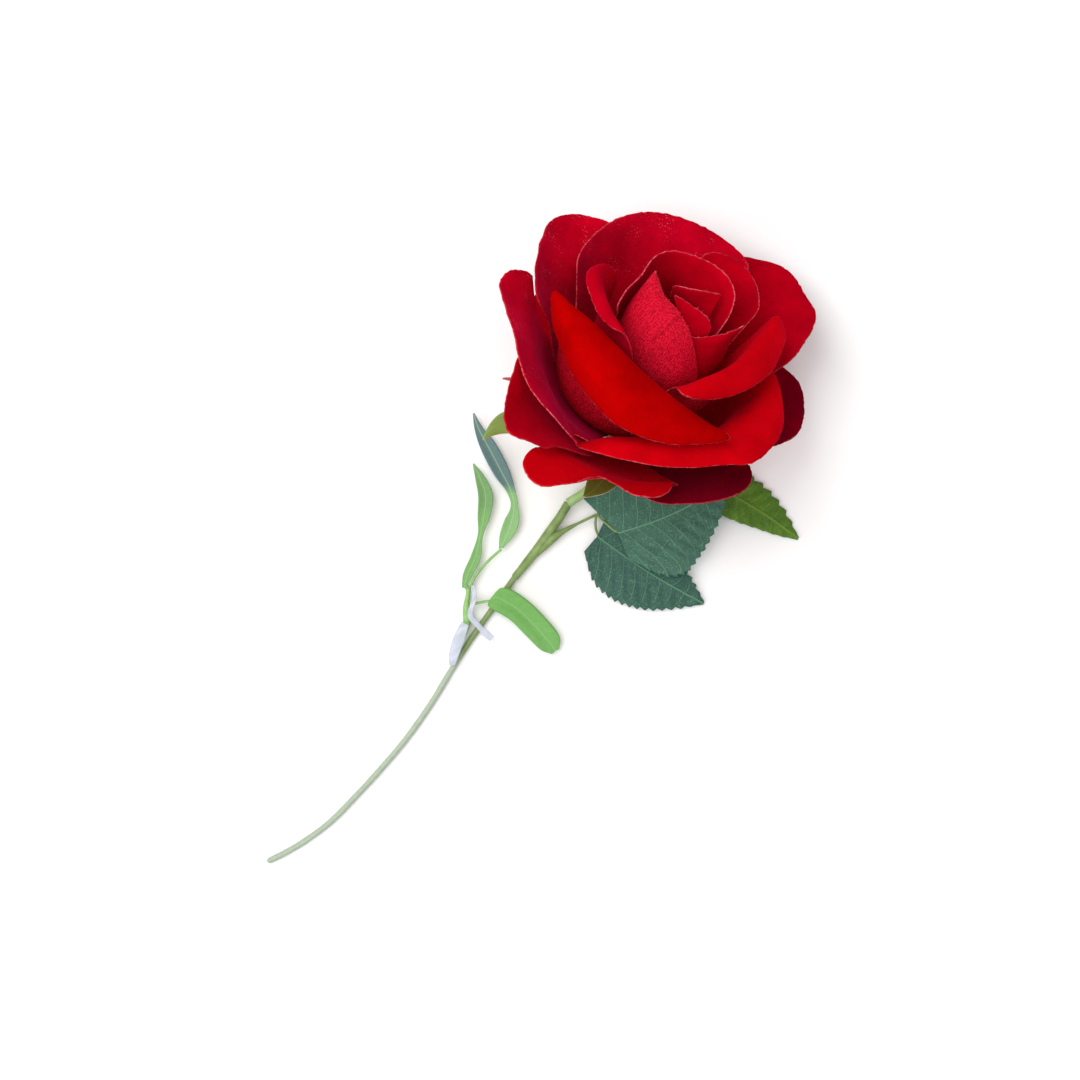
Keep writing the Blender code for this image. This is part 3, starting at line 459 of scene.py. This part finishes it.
def fibres(grid, count, seed):
    """Loose threads at a cut rim: (points, triangles) of thin slivers."""
    rng = np.random.default_rng(seed)
    rows, cols = grid.shape[:2]
    normal = normals_of(grid)
    points, triangles = [], []
    for _ in range(count):
        pick = rng.uniform()
        if pick < .7:
            j, i = rows-1, rng.integers(1, cols-1)
            out, side = grid[j, i]-grid[j-1, i], grid[j, i+1]-grid[j, i-1]
        else:
            j, i = rng.integers(int(.7*rows), rows-1), (0 if pick < .85 else cols-1)
            out = grid[j, i]-grid[j, i+1 if i == 0 else i-1]
            side = grid[j+1, i]-grid[j-1, i]
        out, side = (v/max(np.linalg.norm(v), 1e-9) for v in (out, side))
        start = grid[j, i]-.1*out
        way = out+rng.uniform(-1.2, 1.2)*side+rng.uniform(-.8, .8)*normal[j, i]
        end = start+rng.uniform(.25, FIBRE_LENGTH)*way/np.linalg.norm(way)
        first = len(points)
        points += [start-.04*side, start+.04*side, end]
        triangles.append((first, first+1, first+2))
    return points, triangles


def write_uv(piece, name, places):
    """UV map from one pair of numbers for each vertex."""
    layer = piece.data.uv_layers.new(name=name)
    loops = np.zeros(len(piece.data.loops), int)
    piece.data.loops.foreach_get("vertex_index", loops)
    layer.data.foreach_set("uv", places[loops].ravel())


def cloth(name, grid, thickness, materials, loose=0, seed=0):
    """A sheet with an outer face, an inner face and a thin cut rim, in that order of materials."""
    rows, cols = grid.shape[:2]
    across, along = measures(grid)
    normal = normals_of(grid)
    j, i = np.mgrid[0:rows, 0:cols]
    edge = np.minimum(np.minimum(across-across[:, :1], across[:, -1:]-across), along[-1]-along)
    half = thickness/2*(RIM_THINNING+(1-RIM_THINNING)*np.clip(edge/1.6, 0, 1)**.6)
    top, low = grid+normal*half[..., None], grid-normal*half[..., None]
    vertices = list(np.concatenate([top.reshape(-1, 3), low.reshape(-1, 3)]))
    count = rows*cols
    number = (j*cols+i)
    a, b = number[:-1, :-1].ravel(), number[:-1, 1:].ravel()
    c, d = number[1:, 1:].ravel(), number[1:, :-1].ravel()
    outer = np.stack([a, b, c, d], -1)
    inner = np.stack([d, c, b, a], -1)+count
    rim = list(range(cols))+[r*cols+cols-1 for r in range(1, rows)]
    rim += [(rows-1)*cols+k for k in range(cols-2, -1, -1)]+[r*cols for r in range(rows-2, 0, -1)]
    edges = [(q, p, p+count, q+count) for p, q in zip(rim, rim[1:]+rim[:1])]
    faces = outer.tolist()+inner.tolist()+edges
    kinds = [0]*len(outer)+[1]*len(inner)+[2]*len(edges)
    where = [np.stack([across.ravel(), along.ravel()], -1)]*2
    rim_way = [np.stack([edge.ravel(), np.zeros(edge.size)], -1)]*2
    if loose:
        points, triangles = fibres(grid, loose, seed)
        first = len(vertices)
        vertices += points
        faces += [tuple(first+k for k in t) for t in triangles]
        kinds += [2]*len(triangles)
        where.append(np.zeros((len(points), 2)))
        rim_way.append(np.zeros((len(points), 2)))
    piece = new_piece(name, vertices, faces, materials, name.removesuffix("_cloth"))
    piece.data.polygons.foreach_set("material_index", kinds)
    write_uv(piece, "cloth_mm", np.concatenate(where))
    write_uv(piece, "rim_mm", np.concatenate(rim_way))
    return piece


def tube(name, path, radii, material, sides=28, steps=160, rough=.02, seed=0, dome=0.0):
    """Round bar along a path with slight unevenness; dome rounds the far end by that length."""
    path = np.array(path, float)
    path[0] += JOIN*(path[0]-path[1])/np.linalg.norm(path[0]-path[1])
    if not dome:
        path[-1] += JOIN*(path[-1]-path[-2])/np.linalg.norm(path[-1]-path[-2])
    t = np.linspace(0, 1, steps+1)
    centre = loft(path, t)
    if np.isscalar(radii):
        radii = [radii, radii]
    radius = np.interp(t, np.linspace(0, 1, len(radii)), radii)
    run = np.concatenate([[0], np.cumsum(np.linalg.norm(np.diff(centre, axis=0), axis=1))])
    radius = radius*(1+rough*waver(run/2.5, seed))
    if dome:
        left = np.clip((run[-1]-run)/dome, 0, 1)
        radius = radius*np.sqrt(np.clip(1-(1-left)**2, .02, 1))
    tangent = np.gradient(centre, axis=0)
    tangent /= np.linalg.norm(tangent, axis=1, keepdims=True)
    side = np.cross(tangent, (0, 0, 1.0))
    side /= np.linalg.norm(side, axis=1, keepdims=True)
    upward = np.cross(tangent, side)
    w = np.linspace(0, 2*pi, sides, endpoint=False)
    ring = np.cos(w)[None, :, None]*side[:, None]+np.sin(w)[None, :, None]*upward[:, None]
    vertices = (centre[:, None]+radius[:, None, None]*ring).reshape(-1, 3)
    faces = []
    for j in range(steps):
        for k in range(sides):
            n = (k+1) % sides
            faces.append((j*sides+k, j*sides+n, (j+1)*sides+n, (j+1)*sides+k))
    faces.append(tuple(range(sides-1, -1, -1)))
    faces.append(tuple(steps*sides+k for k in range(sides)))
    piece = new_piece(name, vertices, faces, [material], name.removesuffix("_skin"))
    write_uv(piece, "cloth_mm", np.stack([np.tile(w, steps+1), np.repeat(run, sides)], -1))
    return piece


def turned(name, profile, material, sides=64, smooth=8):
    """Body of revolution about the bloom axis from (radius, height) pairs, closed at both ends."""
    p = loft(profile, np.linspace(0, 1, smooth*(len(profile)-1)+1))
    w = np.linspace(0, 2*pi, sides, endpoint=False)
    lobes = 1+.035*np.cos(5*w)*np.clip((p[:, 1]+14)/10, 0, 1)[:, None]
    r = p[:, :1]*lobes
    points = np.stack([r*np.cos(w), r*np.sin(w), np.repeat(p[:, 1:2], sides, axis=1)], -1)
    vertices = to_world(points).reshape(-1, 3)
    faces = []
    for j in range(len(p)-1):
        for k in range(sides):
            n = (k+1) % sides
            faces.append((j*sides+k, j*sides+n, (j+1)*sides+n, (j+1)*sides+k))
    faces.append(tuple(range(sides-1, -1, -1)))
    faces.append(tuple((len(p)-1)*sides+k for k in range(sides)))
    return new_piece(name, vertices, faces, [material], name.removesuffix("_skin"))


# ----------------------------------------------------------------- materials
def node(material, kind, inputs=(), **settings):
    """New node; inputs maps a socket to a value, or to another node's output."""
    made = material.node_tree.nodes.new("ShaderNode"+kind)
    for key, value in settings.items():
        setattr(made, key, value)
    for socket, value in dict(inputs).items():
        if isinstance(value, bpy.types.NodeSocket):
            material.node_tree.links.new(value, made.inputs[socket])
        else:
            made.inputs[socket].default_value = value
    return made


def new_material(name, **sockets):
    """Principled material; a keyword is a socket's name with _ for the spaces."""
    material = bpy.data.materials.new(name)
    material.use_nodes = True
    shader = material.node_tree.nodes["Principled BSDF"]
    for key, value in sockets.items():
        shader.inputs[key.replace("_", " ")].default_value = value
    return material


def feed(material, socket, value):
    material.node_tree.links.new(value, material.node_tree.nodes["Principled BSDF"].inputs[socket])


def noise(material, size_mm, detail=2.0):
    """Noise whose grains are about size_mm wide, 0 to 1."""
    place = node(material, "TexCoord").outputs["Object"]
    inputs = {"Vector": place, "Scale": 1/(size_mm*MM), "Detail": detail}
    return node(material, "TexNoise", inputs).outputs["Fac"]


def between(material, value, low, high):
    """value stretched so that low to high becomes 0 to 1."""
    return node(material, "MapRange", {"Value": value, "From Min": low, "From Max": high}).outputs["Result"]


def maths(material, operation, *values):
    return node(material, "Math", dict(enumerate(values)), operation=operation).outputs["Value"]


def blend(material, share, one, other):
    """Colour that goes from one to other as share goes from 0 to 1."""
    mixed = node(material, "Mix", {0: share, 6: one, 7: other}, data_type="RGBA")
    return mixed.outputs[2]


def cloth_place(material):
    """(across, along) in millimetres on the piece."""
    place = node(material, "UVMap", uv_map="cloth_mm").outputs["UV"]
    split = node(material, "SeparateXYZ", {"Vector": place})
    return split.outputs["X"], split.outputs["Y"]


def emboss(material, height, strength, depth_mm):
    bump = node(material, "Bump", {"Height": height, "Strength": strength, "Distance": depth_mm*MM})
    feed(material, "Normal", bump.outputs["Normal"])


def rgb(r, g, b):
    return (r, g, b, 1.0)


def pale_rim(material, colour, strength):
    """Backing that shows in broken dashes along the cut rim."""
    place = node(material, "UVMap", uv_map="rim_mm").outputs["UV"]
    way = node(material, "SeparateXYZ", {"Vector": place}).outputs["X"]
    ragged = maths(material, "MULTIPLY_ADD", noise(material, .7, 1.0), -.5, way)
    near = between(material, ragged, RIM_SHOWS-.25, -.3)
    dashes = between(material, noise(material, 2.6, 2.0), .44, .62)
    share = maths(material, "MULTIPLY", near, maths(material, "MULTIPLY_ADD", dashes, strength, .04))
    return blend(material, share, colour, PALE_BACKING)


def velvet(name, bright, deep, tint, specks=.0):
    """Short pile: blotches where it was brushed, fine grain, and a tinted sheen at grazing light."""
    m = new_material(name, Roughness=.95, Sheen_Weight=.22, Sheen_Roughness=.42,
                     Sheen_Tint=tint, Specular_IOR_Level=.0)
    brushed = between(m, noise(m, 15, 1.0), .30, .70)
    stirred = between(m, noise(m, 3.4, 3.0), .32, .68)
    share = maths(m, "MULTIPLY_ADD", stirred, .30, maths(m, "MULTIPLY", brushed, .70))
    colour = blend(m, share, deep, bright)
    grain = between(m, noise(m, .40, 1.0), .35, .65)
    colour = blend(m, maths(m, "MULTIPLY", grain, .35), colour, deep)
    if specks:
        dust = between(m, noise(m, .42, 0.0), .80-specks, .87-specks)
        patch = between(m, noise(m, 9, 2.0), .50, .66)
        dusty = maths(m, "MULTIPLY", maths(m, "MULTIPLY", dust, patch), .75)
        colour = blend(m, dusty, colour, rgb(.75, .13, .17))
    feed(m, "Base Color", pale_rim(m, colour, .5))
    emboss(m, noise(m, .34, 2.0), .6, .16)
    return m


def satin(name, low, high, foot=0.0, lit=1.0):
    """Woven back of the petals: a dotted diagonal weave, coloured with painted highlights on its crests and
    painted shade in its gaps, and painted shade that deepens from lit down to foot (mm from the foot).
    """
    m = new_material(name, Roughness=.5, Sheen_Weight=.06, Sheen_Roughness=.3,
                     Sheen_Tint=rgb(1.0, .05, .12), Specular_IOR_Level=.06)
    across, along = cloth_place(m)
    turn = 2*pi/WEAVE_PITCH
    strand = noise(m, 3.0, 1.0)
    bent = maths(m, "MULTIPLY_ADD", strand, 1.6, across)
    rise, fall = maths(m, "MULTIPLY", along, .35*turn), maths(m, "MULTIPLY", bent, -.45*turn)
    first = maths(m, "SINE", maths(m, "MULTIPLY_ADD", bent, turn, rise))
    second = maths(m, "SINE", maths(m, "MULTIPLY_ADD", along, turn, fall))
    dots = between(m, maths(m, "MULTIPLY", first, second), -.45, .55)
    grains = between(m, noise(m, .62, 0.0), .36, .62)
    # colour of the weave: painted highlight on the thread crests and painted shade in the gaps, with real
    # random grain
    share = maths(m, "MULTIPLY_ADD", grains, .50, maths(m, "MULTIPLY", dots, .50))
    shade = between(m, noise(m, 12), .3, .7)
    cloth_colour = blend(m, share, low, high)
    cloth_colour = blend(m, maths(m, "MULTIPLY", shade, .30), cloth_colour, low)
    # painted shade, darker towards the foot where the petal sits down in the bloom
    foot_shade = between(m, along, lit, foot)
    cloth_colour = blend(m, maths(m, "MULTIPLY", foot_shade, .75), cloth_colour, low)
    feed(m, "Base Color", pale_rim(m, cloth_colour, .6))
    emboss(m, dots, .7, .22)
    return m


def cut_edge(name, pale, dark):
    """Raw rim of the petals, where the pale backing shows between the threads."""
    m = new_material(name, Roughness=.8, Specular_IOR_Level=.2)
    broken = between(m, noise(m, .9, 2.0), .40, .58)
    patches = between(m, noise(m, 7, 1.0), .35, .65)
    colour = blend(m, maths(m, "MULTIPLY", broken, maths(m, "MULTIPLY_ADD", patches, .5, .5)), dark, pale)
    feed(m, "Base Color", colour)
    return m


def leaf_cloth(name, ground, deep, vein, vein_share=.55):
    """Printed leaf cloth: speckled weave, pale midrib and side veins."""
    m = new_material(name, Roughness=.62, Sheen_Weight=.12, Sheen_Roughness=.5, Specular_IOR_Level=.35)
    across, along = cloth_place(m)
    blotch = between(m, noise(m, 6, 3.0), .3, .7)
    speck = between(m, noise(m, .5, 2.0), .35, .7)
    colour = blend(m, maths(m, "MULTIPLY_ADD", speck, .35, maths(m, "MULTIPLY", blotch, .5)), ground, deep)
    away = maths(m, "ABSOLUTE", across)
    fleck = between(m, noise(m, .38, 0.0), .69, .76)
    colour = blend(m, maths(m, "MULTIPLY", fleck, .45), colour, vein)
    midrib = between(m, away, .30, .08)
    slanted = maths(m, "SUBTRACT", along, maths(m, "MULTIPLY", away, VEIN_SLANT))
    bent = maths(m, "ADD", slanted, maths(m, "MULTIPLY", noise(m, 7, 1.0), 1.6))
    turn = maths(m, "FRACT", maths(m, "DIVIDE", bent, VEIN_PITCH))
    line = maths(m, "ABSOLUTE", maths(m, "SUBTRACT", turn, .5))
    side = between(m, line, .038, .008)
    net = maths(m, "ABSOLUTE", maths(m, "SUBTRACT", noise(m, 2.2, 1.0), .5))
    fine = maths(m, "MULTIPLY", between(m, net, .022, .006), .4)
    veins = maths(m, "MAXIMUM", midrib, maths(m, "MAXIMUM", maths(m, "MULTIPLY", side, .8), fine))
    feed(m, "Base Color", blend(m, maths(m, "MULTIPLY", veins, vein_share), colour, vein))
    relief = maths(m, "MULTIPLY_ADD", speck, .25, veins)
    emboss(m, relief, .45, .15)
    return m


def plastic(name, ground, deep, rough=.5, streak_mm=3.0, **sockets):
    """Moulded or dipped plastic: faint blotches, fine pits and small changes of gloss."""
    m = new_material(name, Specular_IOR_Level=.4, **sockets)
    blotch = between(m, noise(m, streak_mm, 3.0), .3, .7)
    feed(m, "Base Color", blend(m, blotch, ground, deep))
    gloss = {"Value": noise(m, 1.4), "To Min": rough-.1, "To Max": rough+.12}
    feed(m, "Roughness", node(m, "MapRange", gloss).outputs["Result"])
    emboss(m, noise(m, .6, 3.0), .35, .1)
    return m


def two_tone(name, foot, tip, start, end, vein):
    """Narrow leaf whose colour changes along it between start and end (mm), with a pale middle line."""
    m = new_material(name, Roughness=.5, Specular_IOR_Level=.4)
    across, along = cloth_place(m)
    speck = between(m, noise(m, 1.2, 3.0), .3, .7)
    colour = blend(m, between(m, along, start, end), foot, tip)
    darker = node(m, "HueSaturation", {"Color": colour, "Value": .78}).outputs["Color"]
    colour = blend(m, maths(m, "MULTIPLY", speck, .6), colour, darker)
    middle = between(m, maths(m, "ABSOLUTE", across), .32, .08)
    lines = between(m, maths(m, "SINE", maths(m, "MULTIPLY", across, 9.0)), .6, 1.0)
    feed(m, "Base Color", blend(m, maths(m, "MULTIPLY", middle, .5), colour, vein))
    emboss(m, maths(m, "MULTIPLY_ADD", lines, .4, middle), .5, .12)
    return m


def table_top():
    m = new_material("table_top", Roughness=.75, Specular_IOR_Level=.2)
    cloudy = between(m, noise(m, 60), .35, .65)
    feed(m, "Base Color", blend(m, cloudy, rgb(.90, .90, .905), rgb(.925, .925, .925)))
    emboss(m, noise(m, .8, 2.0), .1, .05)
    return m


# ------------------------------------------------------------------- colours
PALE_BACKING = rgb(.78, .14, .18)
VELVET = {                      # bright and deep colour of the pile, tint of its sheen, specks; the tones are one velvet with painted light and shade, brighter, pinker or darker by how the light falls on each petal
    "lit": velvet("velvet_lit", rgb(.48, .0003, .0006), rgb(.29, .0002, .0006), rgb(1.0, .01, .02)),
    # brighter copy of the velvet: painted light on the petals that face the lamps
    "brightly_lit": velvet("velvet_brightly_lit", rgb(.66, .0004, .0050), rgb(.42, .0003, .0035), rgb(1.0, .02, .08)),
    "plain": velvet("velvet_plain", rgb(.58, .0003, .0110), rgb(.34, .0002, .0070), rgb(1.0, .02, .12)),
    # pinker, brighter copy of the velvet: painted grazing sheen on the upper petals; its specks are pale
    # loose fibres
    "pink_sheen": velvet("velvet_pink_sheen", rgb(.64, .0006, .0180), rgb(.33, .0003, .0090), rgb(1.0, .03, .22),
                   specks=.10),
    # darker copy of the velvet: painted shade on the outer petals at the right, which lie in shadow
    "dark": velvet("velvet_shaded", rgb(.21, .0003, .0085), rgb(.11, .0002, .0060), rgb(1.0, .03, .16)),
}
# high is the weave's painted highlight, low its painted shade in the gaps and towards the foot
SATIN = satin("satin_back", rgb(.26, .0005, .005), rgb(1.0, .010, .040))
# the bud's back darkens from 34 mm down to its foot at 14 mm: painted shade where it sits among the petals
SATIN_BUD = satin("satin_bud", rgb(.36, .0006, .008), rgb(1.0, .009, .050), foot=14, lit=34)
RIM = cut_edge("cut_rim", rgb(.66, .10, .13), rgb(.36, .002, .010))
RIM_SOFT = cut_edge("cut_rim_soft", rgb(.46, .020, .035), rgb(.30, .001, .010))
RIM_PINK = cut_edge("cut_rim_pink", rgb(.78, .16, .21), rgb(.50, .01, .03))
SOFT_RIMS = ("petal_outer_left", "petal_outer_back_left", "petal_outer_back_right", "petal_outer_right",
             "petal_outer_front_right", "petal_cup_back_left", "petal_cup_back_right", "petal_inner_left")

PETAL_LOOK = {                  # pile tone (painted light and shade), ripple (mm), loose threads
    "petal_outer_left": ("plain", .30, 40),
    "petal_outer_front": ("brightly_lit", .30, 60),
    # painted shade: these two right-hand outer petals take the darkest tone
    "petal_outer_front_right": ("dark", .20, 20),
    "petal_outer_right": ("dark", .25, 20),
    "petal_outer_back_right": ("plain", .20, 20),
    "petal_outer_back_left": ("plain", .20, 20),
    "petal_cup_front_right": ("brightly_lit", .22, 80),
    "petal_cup_left": ("pink_sheen", .22, 60),
    "petal_cup_back_left": ("pink_sheen", .25, 40),
    "petal_cup_back_right": ("plain", .18, 30),
    "petal_mid_front": ("lit", .18, 90),
    "petal_mid_right": ("brightly_lit", .15, 70),
    "petal_mid_back": ("pink_sheen", .25, 40),
    "petal_inner_left": ("plain", .12, 50),
    "petal_inner_right": ("plain", .15, 30),
    "petal_bud_curl": ("plain", .15, 90),
    "petal_bud_right": ("plain", .10, 60),
    "petal_bud_side": ("plain", .06, 50),
    "petal_bud_inner": ("plain", .06, 50),
    "petal_bud_front": ("plain", .05, 50),
}
VELVET_BOTH_SIDES = ("petal_bud_side", "petal_bud_inner", "petal_bud_right", "petal_inner_left")
CORNERS = {                     # share of the rim that each end's rounding takes, and how far it drops
    "petal_inner_left": (.42, .16),
    "petal_mid_front": (.05, .01),
    "petal_mid_right": (.12, .04),
    "petal_bud_front": (.05, .0),
    "petal_bud_right": (.05, .0),
    "petal_bud_inner": (.10, .02),
    "petal_bud_side": (.10, .02),
    "petal_outer_front": (.12, .08),
    "petal_cup_left": (.05, .02),
}
CUP_LEFT_CORNER = [184, 43.6, 44.4]      # where its rim meets the back petals: azimuth, radius, height
BUD_CREASES = [                 # tucks in the front of the bud, seen from above
    (32.6, 59.4, 42.6, 68.4, .60, .50),
    (34.8, 73.6, 30.2, 66.6, .18, .35),
]

# --------------------------------------------------------------------- bloom
seed = 0
for table in (OUTER_PETALS, CUP_PETALS, MID_PETALS, INNER_PETALS, BUD_PETALS, CORE_PETALS):
    for petal, curves in table.items():
        tone, ripple, loose = PETAL_LOOK[petal]
        seed += 10
        if table in (OUTER_PETALS, CUP_PETALS, MID_PETALS):
            curves = spread(curves, SPREAD)
        if petal == "petal_cup_left":
            curves[-1][0] = CUP_LEFT_CORNER
        corner = CORNERS.get(petal, RIM_ROUNDING)
        grid = petal_grid(curves, PETAL_STEPS, PETAL_STEPS, corner, cylindrical=table is not CORE_PETALS)
        grid = ruffled(grid, ripple, seed)
        if petal == "petal_bud_front":
            grid = creased(grid, BUD_CREASES)
        thickness = BUD_CLOTH if table in (BUD_PETALS, CORE_PETALS) else PETAL_CLOTH
        back, rim = (SATIN_BUD, RIM_PINK) if thickness == BUD_CLOTH else (SATIN, RIM)
        if petal in SOFT_RIMS:
            rim = RIM_SOFT
        if petal in VELVET_BOTH_SIDES:
            back = VELVET[tone]
        cloth(petal+"_cloth", grid, thickness, [back, VELVET[tone], rim], loose=loose, seed=seed)

FOAM = plastic("foam_core", rgb(.55, .50, .42), rgb(.48, .43, .35), rough=.85)
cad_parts["bud_core"].data.materials.clear()
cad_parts["bud_core"].data.materials.append(FOAM)

# --------------------------------------------------------------- green parts
CALYX = plastic("calyx_plastic", rgb(.27, .42, .15), rgb(.20, .33, .09), rough=.5)
NECK = plastic("neck_plastic", rgb(.36, .52, .22), rgb(.25, .40, .13), rough=.45)
STEM = plastic("stem_plastic", rgb(.21, .31, .10), rgb(.13, .21, .05), rough=.45)
WIRE = two_tone("wire_coating", rgb(.20, .28, .10), rgb(.38, .46, .34), 29, 35, rgb(.36, .44, .28))
turned("calyx_cup_skin", CALYX_PROFILE[::-1], CALYX)

SEPAL = two_tone("sepal_cloth", rgb(.14, .30, .04), rgb(.24, .44, .08), 8, 26, rgb(.30, .46, .16))
SEPAL_PINK = two_tone("sepal_pink", rgb(.18, .28, .06), rgb(.55, .06, .08), 20, 34, rgb(.60, .30, .25))
SEPAL_OLIVE = two_tone("sepal_olive", rgb(.10, .19, .02), rgb(.13, .24, .03), 6, 24, rgb(.24, .34, .08))
SEPAL_EDGE = plastic("sepal_edge", rgb(.42, .34, .18), rgb(.62, .36, .34), rough=.7)
SEPAL_LOOK = {"sepal_back_left": SEPAL_PINK, "sepal_front": SEPAL_OLIVE}
for sepal, rows in SEPALS.items():
    look = SEPAL_LOOK.get(sepal, SEPAL)
    seed += 10
    grid = ruffled(sepal_grid(rows), .12, seed)
    cloth(sepal+"_cloth", grid, .6, [look, look, SEPAL_EDGE], seed=seed)

tube("stem_neck_skin", NECK_PATH, [2.0, NECK_R, NECK_R, NECK_R, 1.55], NECK, seed=1)
tube("stem_upper_skin", UPPER_PATH, [1.4, 1.45, 1.5, 1.6, 1.5, 1.2], STEM, seed=2)
tube("stem_wire_skin", WIRE_PATH, WIRE_R, WIRE, steps=420, rough=.035, seed=3, dome=1.1)
tube("leaf_sheath_skin", SHEATH_PATH, [.7, 1.35, 1.5, .85, .5], STEM, seed=4)
tube("leaf_rachis_skin", RACHIS_PATH, [.45, .45, .4], STEM, seed=5)
tube("petiolule_upper_skin", PETIOLULE_UPPER, .4, STEM, steps=40, seed=6)
tube("petiolule_lower_skin", PETIOLULE_LOWER, .4, STEM, steps=40, seed=7)

LEAF_TEAL = leaf_cloth("leaf_teal", rgb(.040, .135, .095), rgb(.020, .080, .052), rgb(.18, .42, .22))
# darker copy of the teal leaf cloth: painted shade on the lower leaflet, which lies partly under the upper
# one
LEAF_SHADED = leaf_cloth("leaf_shaded", rgb(.028, .105, .080), rgb(.011, .055, .038), rgb(.14, .34, .18))
LEAF_LIME = leaf_cloth("leaf_lime", rgb(.080, .195, .004), rgb(.030, .095, .003), rgb(.26, .42, .04), .35)
LEAF_EDGE = plastic("leaf_edge", rgb(.16, .30, .16), rgb(.07, .17, .08), rough=.7)
LEAF_LOOK = {"leaflet_upper": (LEAF_TEAL, 17, 0), "leaflet_lower": (LEAF_SHADED, 17, 0),
             "leaflet_end": (LEAF_LIME, 11, -1)}
for leaflet, spec in LEAFLETS.items():
    look, teeth, smooth_side = LEAF_LOOK[leaflet]
    shape = {key: value for key, value in spec.items() if key != "slot"}
    grid = leaflet_grid(teeth=teeth, smooth_side=smooth_side, **shape)
    cloth(leaflet+"_cloth", grid, LEAF_CLOTH, [look, look, LEAF_EDGE])

# --------------------------------------------------------------------- sprig
SPRIG = plastic("sprig_plastic", rgb(.28, .50, .17), rgb(.18, .37, .10), rough=.5)
SPRIG_TALL = two_tone("sprig_tall", rgb(.21, .43, .15), rgb(.09, .175, .175), 18.5, 22, rgb(.33, .52, .27))
SPRIG_LEFT = two_tone("sprig_left", rgb(.16, .37, .10), rgb(.14, .31, .10), 24, 28, rgb(.26, .47, .19))
SPRIG_RIGHT = two_tone("sprig_right", rgb(.13, .36, .07), rgb(.15, .38, .09), 6, 20, rgb(.24, .47, .16))
SPRIG_LOOK = {"sprig_leaf_tall": SPRIG_TALL, "sprig_leaf_left": SPRIG_LEFT, "sprig_leaf_right": SPRIG_RIGHT}
tube("sprig_twig_skin", TWIG_PATH, [.5, 1.1, 1.3, .8, .6], SPRIG, seed=8, rough=.06)
tube("sprig_stalk_tall_skin", SPRIG_STALK, .45, SPRIG, steps=60, seed=9)
tube("sprig_stalk_right_skin", SPRIG_STALK_LOW, .45, SPRIG, steps=40, seed=10)
for leaf, rows in SPRIG_LEAVES.items():
    seed += 10
    grid = ruffled(strip_grid(rows), .10, seed)
    across, along = measures(grid)
    cupped = SPRIG_CUP*across**2*np.clip(along/8, 0, 1)*np.clip((along[-1]-along)/8, 0, 1)
    grid = grid+np.minimum(cupped, SPRIG_CUP_MOST)[..., None]*np.array([0, 0, 1.0])
    look = SPRIG_LOOK[leaf]
    cloth(leaf+"_cloth", grid, .45, [look, look, look], seed=seed)

TIE = plastic("tie_film", rgb(.60, .63, .76), rgb(.50, .55, .62), rough=.25, Alpha=.70, Coat_Weight=.3)
for tie, rows in TIES.items():
    seed += 10
    grid = strip_grid(rows, across=10, along=80)
    across, along = measures(grid)
    crinkle = TIE_CRINKLE*waver(along/1.3+across/1.1, seed)
    grid = grid+crinkle[..., None]*np.array([0, 0, 1.0])
    cloth(tie+"_cloth", grid, .2, [TIE, TIE, TIE], seed=seed)

# -------------------------------------------------- table, lights and camera
bpy.ops.mesh.primitive_plane_add(size=TABLE_SIZE, location=(0, 0, 0))
floor = bpy.context.object
floor.name = "table_top"
floor.data.materials.append(table_top())

LIGHTS = [                      # soft panels aimed at BLOOM: name, place (m), size, power (W), colour
    ("key", (-.45, .45, 1.10), .8, 9.0, (1.0, .985, .97)),
    ("fill", (.75, -.35, 1.00), 1.0, 2.2, (.97, .98, 1.0)),
    ("left", (-.75, -.50, .75), .7, 5.0, (1.0, 1.0, 1.0)),
    ("top", (-.05, -.10, 1.60), 1.1, 7.5, (1.0, 1.0, 1.0)),
]
BLOOM = (.03, .05, .04)
for name, place, size, power, colour in LIGHTS:
    data = bpy.data.lights.new(name, "AREA")
    data.size = size
    data.energy = power
    data.color = colour
    lamp = bpy.data.objects.new(name, data)
    bpy.context.scene.collection.objects.link(lamp)
    lamp.location = place
    lamp.rotation_mode = "QUATERNION"
    lamp.rotation_quaternion = (Vector(BLOOM)-Vector(place)).to_track_quat("-Z", "Y")

world = bpy.data.worlds.new("studio")
world.use_nodes = True
world.node_tree.nodes["Background"].inputs["Color"].default_value = (1.0, 1.0, 1.0, 1.0)
world.node_tree.nodes["Background"].inputs["Strength"].default_value = WORLD_STRENGTH
bpy.context.scene.world = world
bpy.context.scene.view_settings.view_transform = "Standard"

lens = bpy.data.cameras.new("camera")
lens.sensor_width = SENSOR
lens.lens = SENSOR/VIEW_SPAN
eye = bpy.data.objects.new("camera", lens)
bpy.context.scene.collection.objects.link(eye)
eye.location = (MM*OFFSET[0], MM*OFFSET[1], MM*(CAMERA_HEIGHT+OFFSET[2]))
bpy.context.scene.camera = eye
